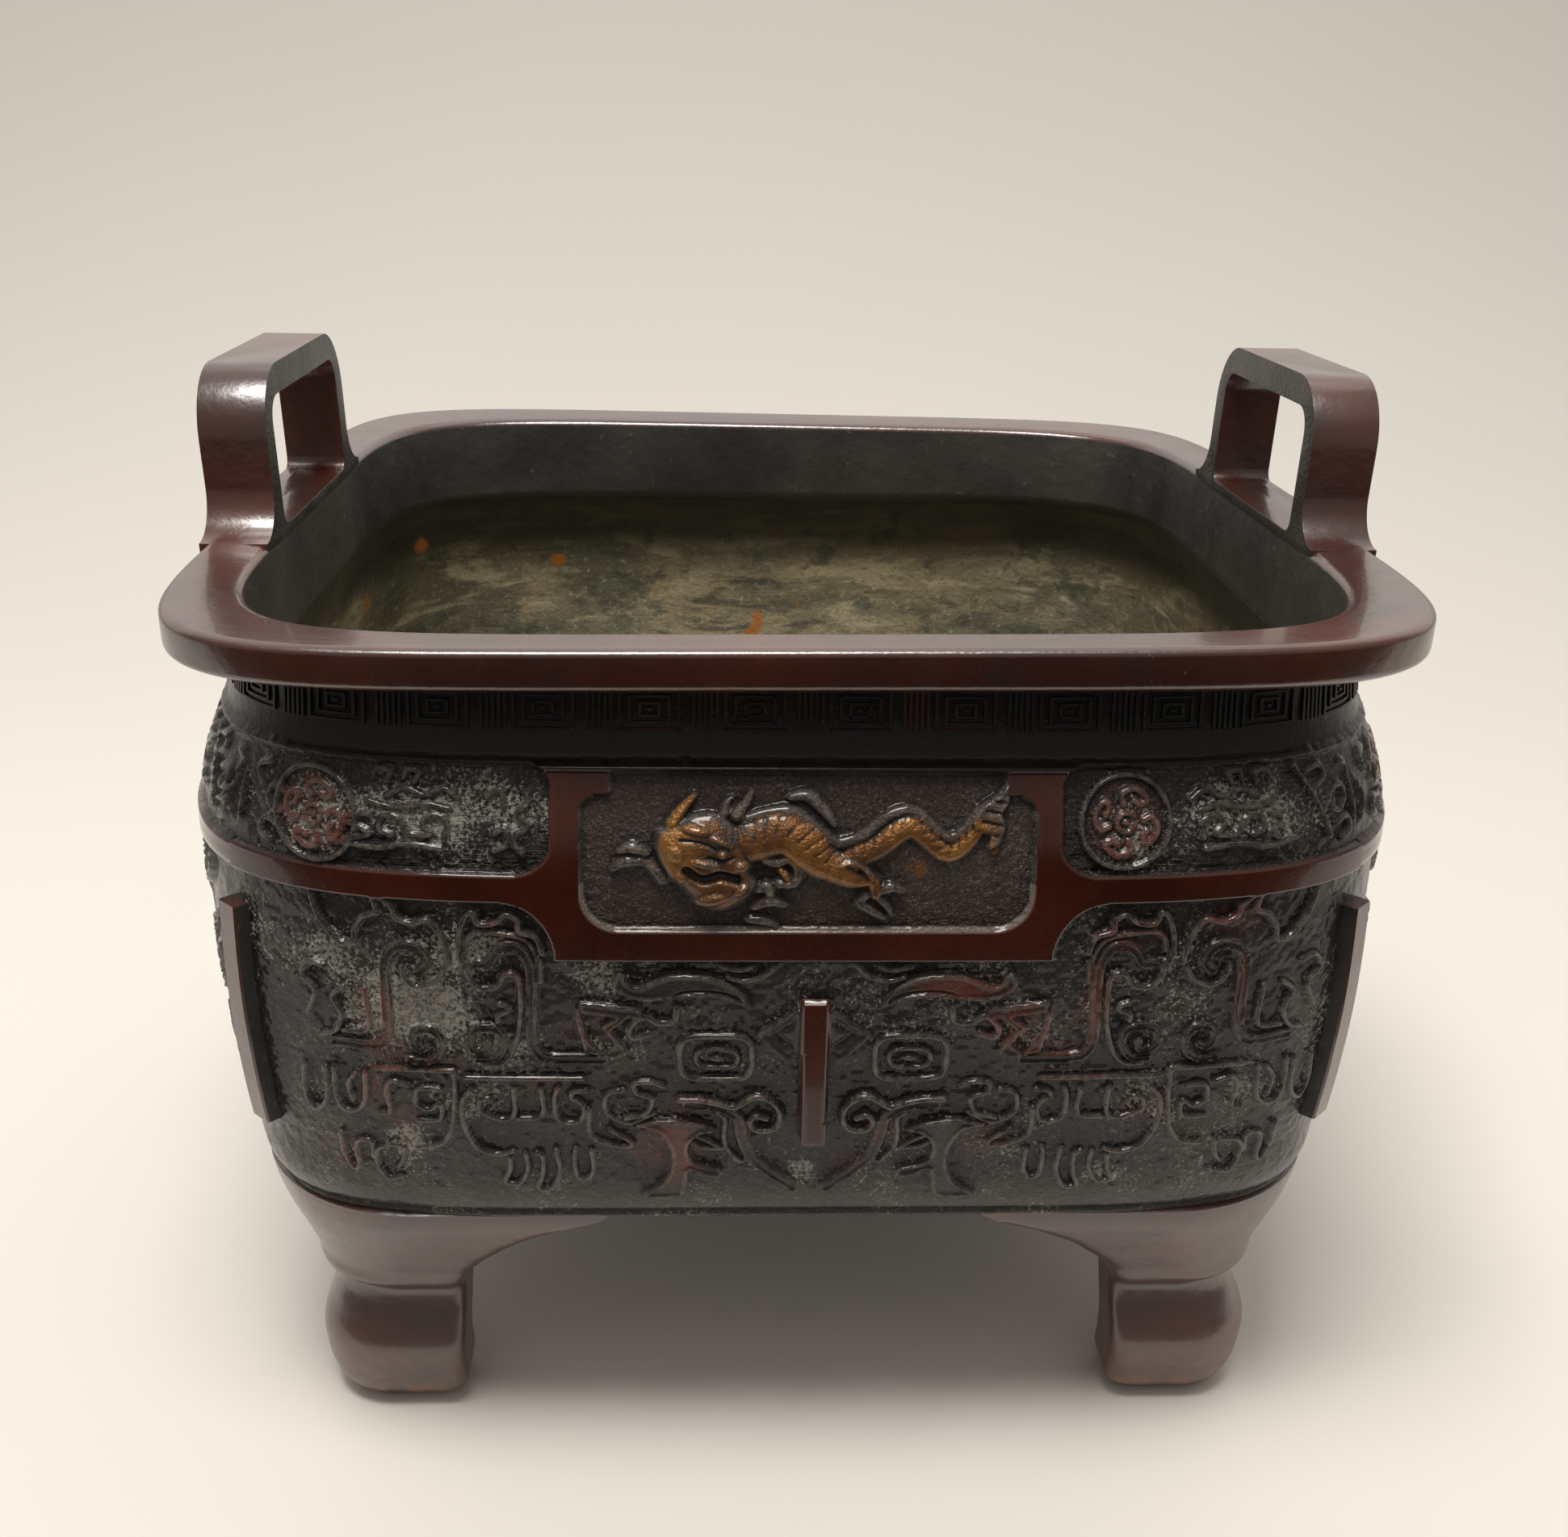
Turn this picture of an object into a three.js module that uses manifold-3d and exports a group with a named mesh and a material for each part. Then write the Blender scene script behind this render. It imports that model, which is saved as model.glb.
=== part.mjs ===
// Square bronze ding: one casting. A square vessel with bowed sides and round corners stands
// on four bulbous feet, has a flat everted rim, and carries two upright loop handles.
// Straps, cartouches with a dragon, medallions, a mask on every side, corner flanges and a
// key fret round the neck are cast with the wall.
// Millimetres, +Z up, front towards -Y, origin on the ground under the middle of the vessel.
import * as THREE from 'three';
import { mergeVertices } from 'three/addons/utils/BufferGeometryUtils.js';
import Module from 'manifold-3d';

const wasm = await Module();
wasm.setup();

// ---------------------------------------------------------------- driving sizes
const RIM_Z = 205; // top of the rim above the ground
const RIM_HALF = 140; // half the width of the rim
const RIM_EDGE = 9.6; // height of the rim's edge
const RIM_SQUARE = 6.2; // squareness of the rim's outline
const MOUTH_HALF_X = 126.1; // half the mouth, left to right
const MOUTH_HALF_Y = 124.2; // half the mouth, front to back
const DEEPER = 0.7; // the vessel is this much deeper than wide, each way
const AROUND = 32; // facets round the vessel
const UNDERSIDE_Z = 64.5;
const FLOOR_Z = 69.5;

const STRAP_TOP = 156.6; // the strap that runs round below the shoulder
const STRAP_LOW = 150.5;
const STRAP_PROUD = 1.6;
const LIP_Z = 178.2; // raised lip along the top of the shoulder panels

const HANDLE_LONG = 85.8; // front to back
const HANDLE_HIGH = 38.8; // above the rim
const HANDLE_THICK = 15.2;
const HANDLE_INNER_X = 126.8;
const HANDLE_LEAN = 0.03;
const LEG_WIDE = 7.5;
const BAR_HIGH = 7.4;

const APRON_HALF = 51.8; // plate that carries the cartouche
const APRON_LOW = 137.4;
const WINDOW_HALF = 46.8; // opening of the cartouche
const WINDOW_TOP = 177.4;
const WINDOW_LOW = 144.1;
const WINDOW_ROUND = 8.5;
const NOTCH = 5.6; // step in the two upper corners of the opening
const NOTCH_DROP = 4.6;

const MASK_X = 2.5; // the mask is cast this far right of the middle
const RIDGE_WIDE = 2.6;
const RIDGE_HIGH = 1.2;
const SUNK = 1.4; // how far the roots of the relief run into the wall

const BAR_WIDE = 5.8; // bar down the mask's nose
const BAR_PROUD = 3.6;
const FLANGE_WIDE = 6.5; // bars down the four corners
const FLANGE_PROUD = 4.5;
const FLANGE_TOP = 145;
const FLANGE_LOW = 88;

const MEDALLION_R = 9.3;
const MEDALLION_Z = 167;
const FRET_PITCH = 20.8;
const FRET_TOP = 194;
const FRET_LOW = 185;

// ---------------------------------------------------------------- levels of the wall
// The plain wall: height, half width, squareness of the outline.
const WALL = [
  [UNDERSIDE_Z, 125.5, 6.6],
  [68.4, 128.4, 6.6],
  [84, 132.0, 6.2],
  [110, 135.7, 5.7],
  [STRAP_LOW - 0.6, 138.5, 4.9],
  [STRAP_TOP + 0.6, 138.3, 4.9],
  [166, 136.8, 4.9],
  [LIP_Z - 0.8, 132.2, 5.2],
  [184.4, 129.9, 5.4],
  [194.4, 128.8, 5.6],
];

// Mouldings that stand off the plain wall, and the rim above it.
const MOULDINGS = [
  [UNDERSIDE_Z + 2, 129.3, 6.6],
  [STRAP_LOW, 138.5 + STRAP_PROUD, 4.9],
  [STRAP_TOP, 138.3 + STRAP_PROUD, 4.9],
  [LIP_Z, 133.5, 5.2],
  [LIP_Z + 1.4, 131.9, 5.2],
  [RIM_Z - RIM_EDGE, RIM_HALF - 2.2, RIM_SQUARE],
  [RIM_Z - RIM_EDGE + 1, RIM_HALF - 0.8, RIM_SQUARE],
  [RIM_Z - 0.9, RIM_HALF, RIM_SQUARE],
  [RIM_Z, RIM_HALF - 0.9, RIM_SQUARE],
];
const OUTSIDE = [...WALL, ...MOULDINGS].sort((a, b) => a[0] - b[0]);

// The rim's top dips towards the mouth; below it a straight neck, then the bellied inside.
// Height, half width, half depth, squareness.
const INSIDE = [
  [RIM_Z - 1.2, MOUTH_HALF_X + 0.9, MOUTH_HALF_Y + 0.9, 5.9],
  [RIM_Z - 2.2, MOUTH_HALF_X - 0.3, MOUTH_HALF_Y - 0.3, 5.8],
  [RIM_Z - 25.5, MOUTH_HALF_X - 1.2, MOUTH_HALF_Y - 0.8, 5.4],
  [RIM_Z - 28.5, MOUTH_HALF_X + 1.6, MOUTH_HALF_Y + 3.4, 5.3],
  [166, 132.2, 132.9, 5.0],
  [152, 134.2, 134.9, 4.9],
  [110, 131.4, 132.1, 5.7],
  [82, 126.8, 127.5, 6.2],
  [FLOOR_Z, 114.0, 114.7, 6.0],
];

const power = (v, p) => Math.sign(v) * Math.abs(v) ** p;

function ring(halfX, halfY, square, z) {
  const points = [];
  for (let k = 0; k < AROUND; k += 1) {
    const angle = (2 * Math.PI * k) / AROUND;
    const x = halfX * power(Math.cos(angle), 2 / square);
    const y = halfY * power(Math.sin(angle), 2 / square);
    points.push([x, y, z]);
  }
  return points;
}

// ---------------------------------------------------------------- closed bodies
function solidFrom(points, faces) {
  const volume = faces.reduce((sum, [a, b, c]) => {
    const [p, q, r] = [points[a], points[b], points[c]];
    const x = q[1] * r[2] - q[2] * r[1];
    const y = q[2] * r[0] - q[0] * r[2];
    const z = q[0] * r[1] - q[1] * r[0];
    return sum + p[0] * x + p[1] * y + p[2] * z;
  }, 0);
  const facing = volume < 0 ? faces.map(([a, b, c]) => [a, c, b]) : faces;
  const geometry = new THREE.BufferGeometry();
  geometry.setAttribute('position', new THREE.Float32BufferAttribute(points.flat(), 3));
  geometry.setIndex(facing.flat());
  const merged = mergeVertices(geometry, 1e-4);
  return new wasm.Manifold(new wasm.Mesh({
    numProp: 3,
    vertProperties: new Float32Array(merged.attributes.position.array),
    triVerts: new Uint32Array(merged.index.array),
  }));
}

// Rings of equal count stacked into one closed body; its two ends are closed by flat fans.
function loft(rings) {
  const count = rings[0].length;
  const points = rings.flat();
  const faces = [];
  for (let r = 0; r < rings.length - 1; r += 1) {
    for (let k = 0; k < count; k += 1) {
      const a = r * count + k;
      const b = r * count + ((k + 1) % count);
      faces.push([a, b, b + count], [a, b + count, a + count]);
    }
  }
  const last = (rings.length - 1) * count;
  for (let k = 1; k < count - 1; k += 1) {
    faces.push([0, k + 1, k], [last, last + k, last + k + 1]);
  }
  return solidFrom(points, faces);
}

// ---------------------------------------------------------------- places on the wall
function wallAt(z) {
  let k = 1;
  while (k < WALL.length - 1 && WALL[k][0] < z) k += 1;
  const [z0, half0, square0] = WALL[k - 1];
  const [z1, half1, square1] = WALL[k];
  const t = (z - z0) / (z1 - z0);
  return [half0 + (half1 - half0) * t, square0 + (square1 - square0) * t];
}

// One quarter of the outline at a height, walked from the middle of a side to the next side.
const walks = new Map();
function walk(side, z) {
  const key = `${side % 2}:${z.toFixed(2)}`;
  if (!walks.has(key)) {
    const [half, square] = wallAt(z);
    const wide = side % 2 ? half + DEEPER : half;
    const deep = side % 2 ? half : half + DEEPER;
    const path = [];
    let length = 0;
    for (let k = 0; k <= 300; k += 1) {
      const angle = (Math.PI / 2) * (k / 300);
      const x = wide * power(Math.sin(angle), 2 / square);
      const y = deep * power(Math.cos(angle), 2 / square);
      if (k) length += Math.hypot(x - path[k - 1][1], y - path[k - 1][2]);
      path.push([length, x, y]);
    }
    walks.set(key, { path, wide, deep, square });
  }
  return walks.get(key);
}

// A place on one of the four sides: u runs along the wall from the side's middle to the
// right, z is the height, lift is how far the place stands off the wall.
function place(side, u, z, lift) {
  const { path, wide, deep, square } = walk(side, z);
  const far = Math.abs(u);
  let k = 1;
  while (k < path.length - 1 && path[k][0] < far) k += 1;
  const t = (far - path[k - 1][0]) / (path[k][0] - path[k - 1][0]);
  const x = path[k - 1][1] + (path[k][1] - path[k - 1][1]) * t;
  const y = path[k - 1][2] + (path[k][2] - path[k - 1][2]) * t;
  const nx = x ** (square - 1) / wide ** square;
  const ny = y ** (square - 1) / deep ** square;
  const unit = lift / Math.hypot(nx, ny);
  const px = Math.sign(u || 1) * (x + nx * unit);
  const py = -(y + ny * unit);
  const turn = (side * Math.PI) / 2;
  const c = Math.cos(turn);
  const s = Math.sin(turn);
  return [px * c - py * s, px * s + py * c, z];
}

// A raised line with a sharp crest along a path of [u, z] places.
function ridge(side, path, wide = RIDGE_WIDE, high = RIDGE_HIGH) {
  return loft(path.map((here, k) => {
    const before = path[Math.max(k - 1, 0)];
    const after = path[Math.min(k + 1, path.length - 1)];
    const along = Math.hypot(after[0] - before[0], after[1] - before[1]);
    const su = (-(after[1] - before[1]) / along) * (wide / 2);
    const sz = ((after[0] - before[0]) / along) * (wide / 2);
    return [
      place(side, here[0] + su, here[1] + sz, -SUNK),
      place(side, here[0], here[1], high),
      place(side, here[0] - su, here[1] - sz, -SUNK),
    ];
  }));
}

// A flat raised body whose outline is a loop of [u, z] places.
function plate(side, loop, high) {
  return loft([
    loop.map(([u, z]) => place(side, u, z, -SUNK)),
    loop.map(([u, z]) => place(side, u, z, high)),
  ]);
}

// A plate given by rows [z, left, right] so that it follows the curve of the wall.
function rows(side, list, low, high) {
  return loft(list.map(([z, left, right]) => [
    place(side, left, z, low),
    place(side, right, z, low),
    place(side, right, z, high),
    place(side, left, z, high),
  ]));
}

const block = (u0, u1, z0, z1) => [[u0, z0], [u1, z0], [u1, z1], [u0, z1]];

function arc(u, z, radius, from, to, steps) {
  return Array.from({ length: steps + 1 }, (_, k) => {
    const angle = ((from + ((to - from) * k) / steps) * Math.PI) / 180;
    return [u + radius * Math.cos(angle), z + radius * Math.sin(angle)];
  });
}

const bodies = [];
const hollows = [];
const sides = [0, 1, 2, 3];

// ---------------------------------------------------------------- vessel
const outsideRings = OUTSIDE.map(([z, half, square]) => ring(half, half + DEEPER, square, z));
const insideRings = INSIDE.map(([z, halfX, halfY, square]) => ring(halfX, halfY, square, z));
let vessel = loft([...outsideRings, ...insideRings]);

// ---------------------------------------------------------------- feet
// Height, inner faces and outer faces from the middle, radius of the outer corner. A bulb
// stands under a crease, and above it the foot spreads to follow the corner of the vessel.
const FOOT = [
  [0, 85.5, 108.5, 10],
  [1.8, 82.5, 111.4, 12],
  [6.5, 80, 114.6, 16],
  [15, 79.7, 116.5, 20],
  [26, 79.6, 113.9, 19],
  [33.5, 79.5, 111.2, 18],
  [36.2, 79.4, 114.6, 19.5],
  [43, 77.6, 117.6, 26],
  [53, 70.5, 122.6, 33],
  [60, 61.5, 126.6, 39],
  [UNDERSIDE_Z, 46, 128.6, 43],
  [UNDERSIDE_Z + 1.5, 44, 128.6, 43],
];
const FOOT_WEB = 16; // depth of the inner faces, before the back is cut across the corner

function footRing([z, inner, outer, round], signX, signY) {
  const side = 4;
  const loop = [
    [inner, outer - FOOT_WEB],
    ...arc(inner + side, outer - side, side, 180, 90, 1),
    ...arc(outer - round, outer - round, round, 90, 0, 4),
    ...arc(outer - side, inner + side, side, 0, -90, 1),
    [outer - FOOT_WEB, inner],
  ];
  return loop.map(([x, y]) => [signX * x, signY * y, z]);
}

[-1, 1].forEach((signX) => {
  [-1, 1].forEach((signY) => {
    bodies.push(loft(FOOT.map((level) => footRing(level, signX, signY))));
  });
});

// ---------------------------------------------------------------- handles
function handleOutline() {
  const half = HANDLE_LONG / 2;
  const corner = 10;
  const flare = 10; // hollow curve where a leg runs into the rim
  const root = -4;
  const shape = new THREE.Shape();
  shape.moveTo(-half - flare, root);
  shape.lineTo(-half - flare, 0);
  shape.absarc(-half - flare, flare, flare, -Math.PI / 2, 0, false);
  shape.absarc(-half + corner, HANDLE_HIGH - corner, corner, Math.PI, Math.PI / 2, true);
  shape.absarc(half - corner, HANDLE_HIGH - corner, corner, Math.PI / 2, 0, true);
  shape.absarc(half + flare, flare, flare, Math.PI, 1.5 * Math.PI, false);
  shape.lineTo(half + flare, root);
  const inner = half - LEG_WIDE;
  const top = HANDLE_HIGH - BAR_HIGH;
  const foot = 3;
  const turn = 5;
  const hole = new THREE.Path();
  hole.moveTo(-inner + foot, 0.5);
  hole.absarc(inner - foot, 0.5 + foot, foot, -Math.PI / 2, 0, false);
  hole.absarc(inner - turn, top - turn, turn, 0, Math.PI / 2, false);
  hole.absarc(-inner + turn, top - turn, turn, Math.PI / 2, Math.PI, false);
  hole.absarc(-inner + foot, 0.5 + foot, foot, Math.PI, 1.5 * Math.PI, false);
  shape.holes.push(hole);
  return shape;
}

const handleBar = new THREE.ExtrudeGeometry(handleOutline(), {
  depth: HANDLE_THICK,
  bevelEnabled: false,
  curveSegments: 3,
});
handleBar.deleteAttribute('normal');
handleBar.deleteAttribute('uv');
const handleMesh = mergeVertices(handleBar, 1e-3);

function handle(sign) {
  const source = handleMesh.attributes.position;
  const points = [];
  for (let k = 0; k < source.count; k += 1) {
    const up = source.getY(k);
    const out = HANDLE_INNER_X + source.getZ(k) + up * HANDLE_LEAN;
    points.push([sign * out, source.getX(k), RIM_Z + up]);
  }
  const index = Array.from(handleMesh.index.array);
  const faces = [];
  for (let k = 0; k < index.length; k += 3) faces.push(index.slice(k, k + 3));
  return solidFrom(points, faces);
}

bodies.push(handle(1), handle(-1));

// ---------------------------------------------------------------- straps and cartouches
// The plate spreads in a hollow curve into the strap, above and below.
const SPREAD = 11;
const apronRows = [
  [LIP_Z + 0.2, APRON_HALF + 2.5],
  [LIP_Z - 2.2, APRON_HALF],
  [165, APRON_HALF],
  [STRAP_TOP + 2.4, APRON_HALF + 1.8],
  [STRAP_TOP - 0.5, APRON_HALF + 7],
  [STRAP_LOW + 0.5, APRON_HALF + SPREAD],
  [STRAP_LOW - 2.6, APRON_HALF + SPREAD * 0.62],
  [STRAP_LOW - 6.4, APRON_HALF + SPREAD * 0.25],
  [APRON_LOW, APRON_HALF],
];
const windowRows = [
  [WINDOW_TOP, WINDOW_HALF - NOTCH - 1.2],
  [WINDOW_TOP - 1.2, WINDOW_HALF - NOTCH],
  [WINDOW_TOP - NOTCH_DROP, WINDOW_HALF - NOTCH],
  [WINDOW_TOP - NOTCH_DROP - 0.1, WINDOW_HALF - 2],
  [WINDOW_TOP - NOTCH_DROP - 2.4, WINDOW_HALF],
  ...arc(WINDOW_HALF - WINDOW_ROUND, WINDOW_LOW + WINDOW_ROUND, WINDOW_ROUND, 0, -80, 3)
    .map(([u, z]) => [z, u]),
];
const bothWays = ([z, half]) => [z, -half, half];

sides.forEach((side) => {
  bodies.push(rows(side, apronRows.map(bothWays), -SUNK, STRAP_PROUD + 0.4));
  hollows.push(rows(side, windowRows.map(bothWays), -0.2, 6));
});

// ---------------------------------------------------------------- mask
// Places on the mask are [across, drop]: across from its own middle line, drop below the rim.
const onMask = (mirror) => ([across, drop]) => [MASK_X + mirror * across, RIM_Z - drop];

function scroll(across, drop, wide, tall, hand) {
  const turns = [[0, 0], [1, 0], [1, 1], [0.3, 1], [0.3, 0.5]];
  return turns.map(([a, b]) => [across + (hand > 0 ? a : 1 - a) * wide, drop + b * tall]);
}

const EYE = [[12.4, 88], [14.5, 86], [28, 86], [30.2, 88], [30.2, 97], [28, 99], [14.5, 99], [12.4, 97]];
const PUPIL = [[17.5, 92.5], [21.3, 90], [25, 92.5], [21.3, 95]];
const BROW = [[13.5, 79], [19, 74], [28, 71.2], [41, 70.5], [40, 77], [24, 77.2]];
const HEAD = [[31, 79.5], [49.5, 78], [47.5, 90.5], [41, 90]];
const LEG = [[27, 107], [47, 109], [38, 116], [42, 130.5], [30, 130.5], [33, 118]];
const NEAR_HOOK = [[46, 92], [60, 91], [60, 70], [66, 65.5], [71.5, 71], [67, 74]];
const FAR_HOOK = [[103, 91.5], [93, 90], [93, 70], [87, 65], [79, 70], [84, 76]];
const JAW = [[27, 103.5], [19.5, 104.5], [16, 117], [5, 127.5]];

sides.forEach((side) => {
  const middle = MASK_X;
  bodies.push(rows(side, [
    [RIM_Z - 77.8, middle - BAR_WIDE / 2, middle + BAR_WIDE / 2],
    [RIM_Z - 96, middle - BAR_WIDE / 2, middle + BAR_WIDE / 2],
    [RIM_Z - 113.6, middle - BAR_WIDE / 2, middle + BAR_WIDE / 2],
  ], -SUNK, BAR_PROUD));
  const wings = [[-12.5, 86], [-1, 79.5], [1, 79.5], [12.5, 86], [1, 93.5], [-1, 93.5]];
  bodies.push(plate(side, wings.map(onMask(1)), 0.9));
  [-1, 1].forEach((mirror) => {
    const put = (path) => path.map(onMask(mirror));
    bodies.push(plate(side, put(EYE), 0.8));
    bodies.push(plate(side, put(PUPIL), 1.9));
    bodies.push(plate(side, put(BROW), 1.1));
    bodies.push(ridge(side, put(NEAR_HOOK), 3.4));
    bodies.push(ridge(side, put(JAW)));
    if (side % 2) return;
    bodies.push(plate(side, put(HEAD), 1.1), plate(side, put(LEG), 1.1));
    bodies.push(ridge(side, put(FAR_HOOK), 3.4));
    if (side) return;
    bodies.push(ridge(side, put(scroll(63.5, 84, 10, 10, -1))));
    bodies.push(ridge(side, put(scroll(78.5, 84, 10, 10, 1))));
    bodies.push(ridge(side, put(scroll(63, 99, 13, 17, -1))));
    bodies.push(ridge(side, put(scroll(77.5, 99, 13, 17, 1))));
    [50, 60, 95].forEach((across) => {
      bodies.push(ridge(side, put([[across, 110], [across + 1.5, 127]]), 3));
    });
  });
});

// ---------------------------------------------------------------- shoulder panels
function medallion(side, u) {
  const turn = (radius, lift) => arc(u, MEDALLION_Z, radius, 0, 315, 7)
    .map(([v, z]) => place(side, v, z, lift));
  bodies.push(loft([
    turn(MEDALLION_R, -SUNK),
    turn(MEDALLION_R - 0.8, 1.2),
    turn(2.4, 0.5),
  ]));
}

function twist(side, u) {
  const curl = [[-10, 4.5], [0, 6], [10, 6]];
  const body = [[-11, -3.2], [-6.5, 2.5], [5, 2], [4, -3], [-4, -1]];
  [curl, body].forEach((path) => {
    bodies.push(ridge(side, path.map(([a, b]) => [u + a, MEDALLION_Z + b])));
  });
}

sides.forEach((side) => {
  medallion(side, 130);
  if (side % 2) return;
  medallion(side, -101.5);
  medallion(side, 65.5);
  twist(side, -73);
  twist(side, 91);
});

// ---------------------------------------------------------------- corner flanges
// Each stands on the diagonal of its corner and is cut square at both ends.
[45, 135, 225, 315].forEach((degrees) => {
  const angle = (degrees * Math.PI) / 180;
  const across = FLANGE_WIDE / 2;
  const levels = [FLANGE_LOW, 110, FLANGE_TOP].map((z) => {
    const [half, square] = wallAt(z);
    const reach = Math.SQRT2 * (half + DEEPER / 2) * 0.5 ** (1 / square);
    const corners = [[reach - 4, -across], [reach + FLANGE_PROUD, -across],
      [reach + FLANGE_PROUD, across], [reach - 4, across]];
    return corners.map(([r, w]) => [
      r * Math.cos(angle) - w * Math.sin(angle),
      r * Math.sin(angle) + w * Math.cos(angle),
      z,
    ]);
  });
  bodies.push(loft(levels));
});

// ---------------------------------------------------------------- key fret on the neck
sides.forEach((side) => {
  for (let k = -5; k <= 5; k += 1) {
    const u = k * FRET_PITCH + 1.5;
    bodies.push(plate(side, block(u - 6.4, u + 6.4, FRET_LOW, FRET_TOP), 0.8));
  }
});

// ---------------------------------------------------------------- dragons
// Front and back carry a dragon: a head seen from above, a waving body and a tufted tail.
const SPINE = [[-11, 39], [-4, 37.5], [1, 40.5], [6, 44], [14, 39], [20, 37.8], [27, 42],
  [33, 41], [40, 33]];
const GIRTH = [4.4, 5.2, 5.6, 5.2, 3.4, 3, 2.8, 2.4, 1];

function dragon(side) {
  const onFace = ([u, drop]) => [u, RIM_Z - drop];
  const rings = SPINE.map((here, k) => {
    const before = SPINE[Math.max(k - 1, 0)];
    const after = SPINE[Math.min(k + 1, SPINE.length - 1)];
    const along = Math.hypot(after[0] - before[0], after[1] - before[1]);
    const su = ((after[1] - before[1]) / along) * (GIRTH[k] / 2);
    const sz = ((after[0] - before[0]) / along) * (GIRTH[k] / 2);
    const [u, z] = onFace(here);
    return [
      place(side, u + su, z + sz, -SUNK),
      place(side, u + su * 0.7, z + sz * 0.7, 1.8),
      place(side, u - su * 0.7, z - sz * 0.7, 1.8),
      place(side, u - su, z - sz, -SUNK),
    ];
  });
  bodies.push(loft(rings));
  const skull = (grow, lift) => arc(-20.5, RIM_Z - 44, 1, 0, 315, 7)
    .map(([u, z]) => [-20.5 + (u + 20.5) * 9 * grow, RIM_Z - 44 + (z - RIM_Z + 44) * 9.4 * grow])
    .map(([u, z]) => place(side, u, z, lift));
  bodies.push(loft([skull(1.02, -SUNK), skull(0.95, 2), skull(0.5, 3.6)]));
  const limbs = [
    [[-29, 44], [-38, 41]],
    [[3, 37], [-3, 31]],
    [[5, 45], [13, 47], [11, 54]],
    [[-14, 53], [-6, 53.5]],
    [[36, 36], [40, 40]],
  ];
  limbs.forEach((path) => bodies.push(ridge(side, path.map(onFace), 2.6, 1.9)));
}

// ---------------------------------------------------------------- one casting
let shell = wasm.Manifold.union([vessel, ...bodies]);
shell = shell.subtract(wasm.Manifold.union(hollows));
bodies.length = 0;
[0, 2].forEach(dragon);
shell = wasm.Manifold.union([shell, ...bodies]);

const cast = shell.getMesh();
const geometry = new THREE.BufferGeometry();
geometry.setAttribute('position', new THREE.BufferAttribute(new Float32Array(cast.vertProperties), 3));
geometry.setIndex(new THREE.BufferAttribute(new Uint32Array(cast.triVerts), 1));

const bronze = new THREE.MeshStandardMaterial({ color: '#3d2420', roughness: 0.35, metalness: 0.85 });
const ding = new THREE.Mesh(geometry, bronze);
ding.name = 'ding';

const group = new THREE.Group();
group.name = 'square_bronze_ding';
group.add(ding);

export default group;
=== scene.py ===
# %% [markdown]
# # A square bronze ding
# A ding is a vessel on feet with two upright handles. This one is a single casting: a square
# belly with bowed sides, a flat rim, two loop handles, four swelling feet, and relief all round.
# We build it skin by skin in millimetres, and turn each skin into metres at the very end.

import math

import bpy
import numpy as np
from mathutils import Matrix, Vector


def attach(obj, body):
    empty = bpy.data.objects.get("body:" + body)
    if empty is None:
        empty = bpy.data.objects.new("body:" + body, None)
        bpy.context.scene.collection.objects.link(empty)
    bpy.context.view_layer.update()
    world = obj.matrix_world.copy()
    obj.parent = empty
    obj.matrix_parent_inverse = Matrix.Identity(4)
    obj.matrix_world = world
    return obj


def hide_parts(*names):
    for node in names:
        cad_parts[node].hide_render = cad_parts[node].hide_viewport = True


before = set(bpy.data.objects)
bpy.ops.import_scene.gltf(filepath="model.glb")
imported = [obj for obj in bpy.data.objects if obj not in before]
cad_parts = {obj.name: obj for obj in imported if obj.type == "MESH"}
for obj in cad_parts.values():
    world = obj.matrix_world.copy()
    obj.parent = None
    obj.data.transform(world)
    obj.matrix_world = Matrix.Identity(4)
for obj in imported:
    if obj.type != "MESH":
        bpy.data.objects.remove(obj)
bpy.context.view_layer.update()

# %% [markdown]
# ## The camera
# The vessel is seen from a little left of its middle and from above its rim, close enough for
# the front to look wider than the back. A camera could be aimed with a constraint. Here its three
# axes are written out, because a slight roll to one side is part of the view.

# %% Camera
LENS, FILM_WIDE = 38.92, 36.0
CAMERA_PLACE = (-0.0175, -0.45409, 0.30111)
camera_data = bpy.data.cameras.new("camera")
camera_data.lens = LENS
camera_data.sensor_width = FILM_WIDE
camera = bpy.data.objects.new("camera", camera_data)
to_right = Vector((0.99931, -0.03288, 0.01724))
to_top = Vector((-0.00429, 0.35909, 0.93329))
to_back = Vector((-0.03687, -0.93272, 0.35871))
turn = Matrix((to_right, to_top, to_back)).transposed().to_4x4()
camera.matrix_world = Matrix.Translation(CAMERA_PLACE) @ turn
bpy.context.scene.collection.objects.link(camera)
bpy.context.scene.camera = camera
print("camera lens", camera_data.lens, "mm")

# %% [markdown]
# ## The wall
# Seen from above, every level of the vessel is a square with bowed sides and soft corners, which
# a superellipse draws with one number, its squareness. The wall could be modelled with a
# subdivided box, but then its belly would be hard to measure. A table of levels gives the height,
# half the width and the squareness, and a smooth curve runs through it.

# %% Levels of the wall
MM = 0.001
RIM_Z = 205.0
DEEPER = 0.7  # the front and back stand this much farther out than the sides
WALL = np.array([
    [64.5, 125.5, 6.6], [68.4, 128.4, 6.6], [84, 132.0, 6.2], [110, 135.7, 5.7],
    [149.9, 138.5, 4.9], [157.2, 138.3, 4.9], [166, 136.8, 4.9], [177.4, 132.2, 5.2],
    [184.4, 129.9, 5.4], [196.0, 128.7, 5.6],
])


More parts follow.
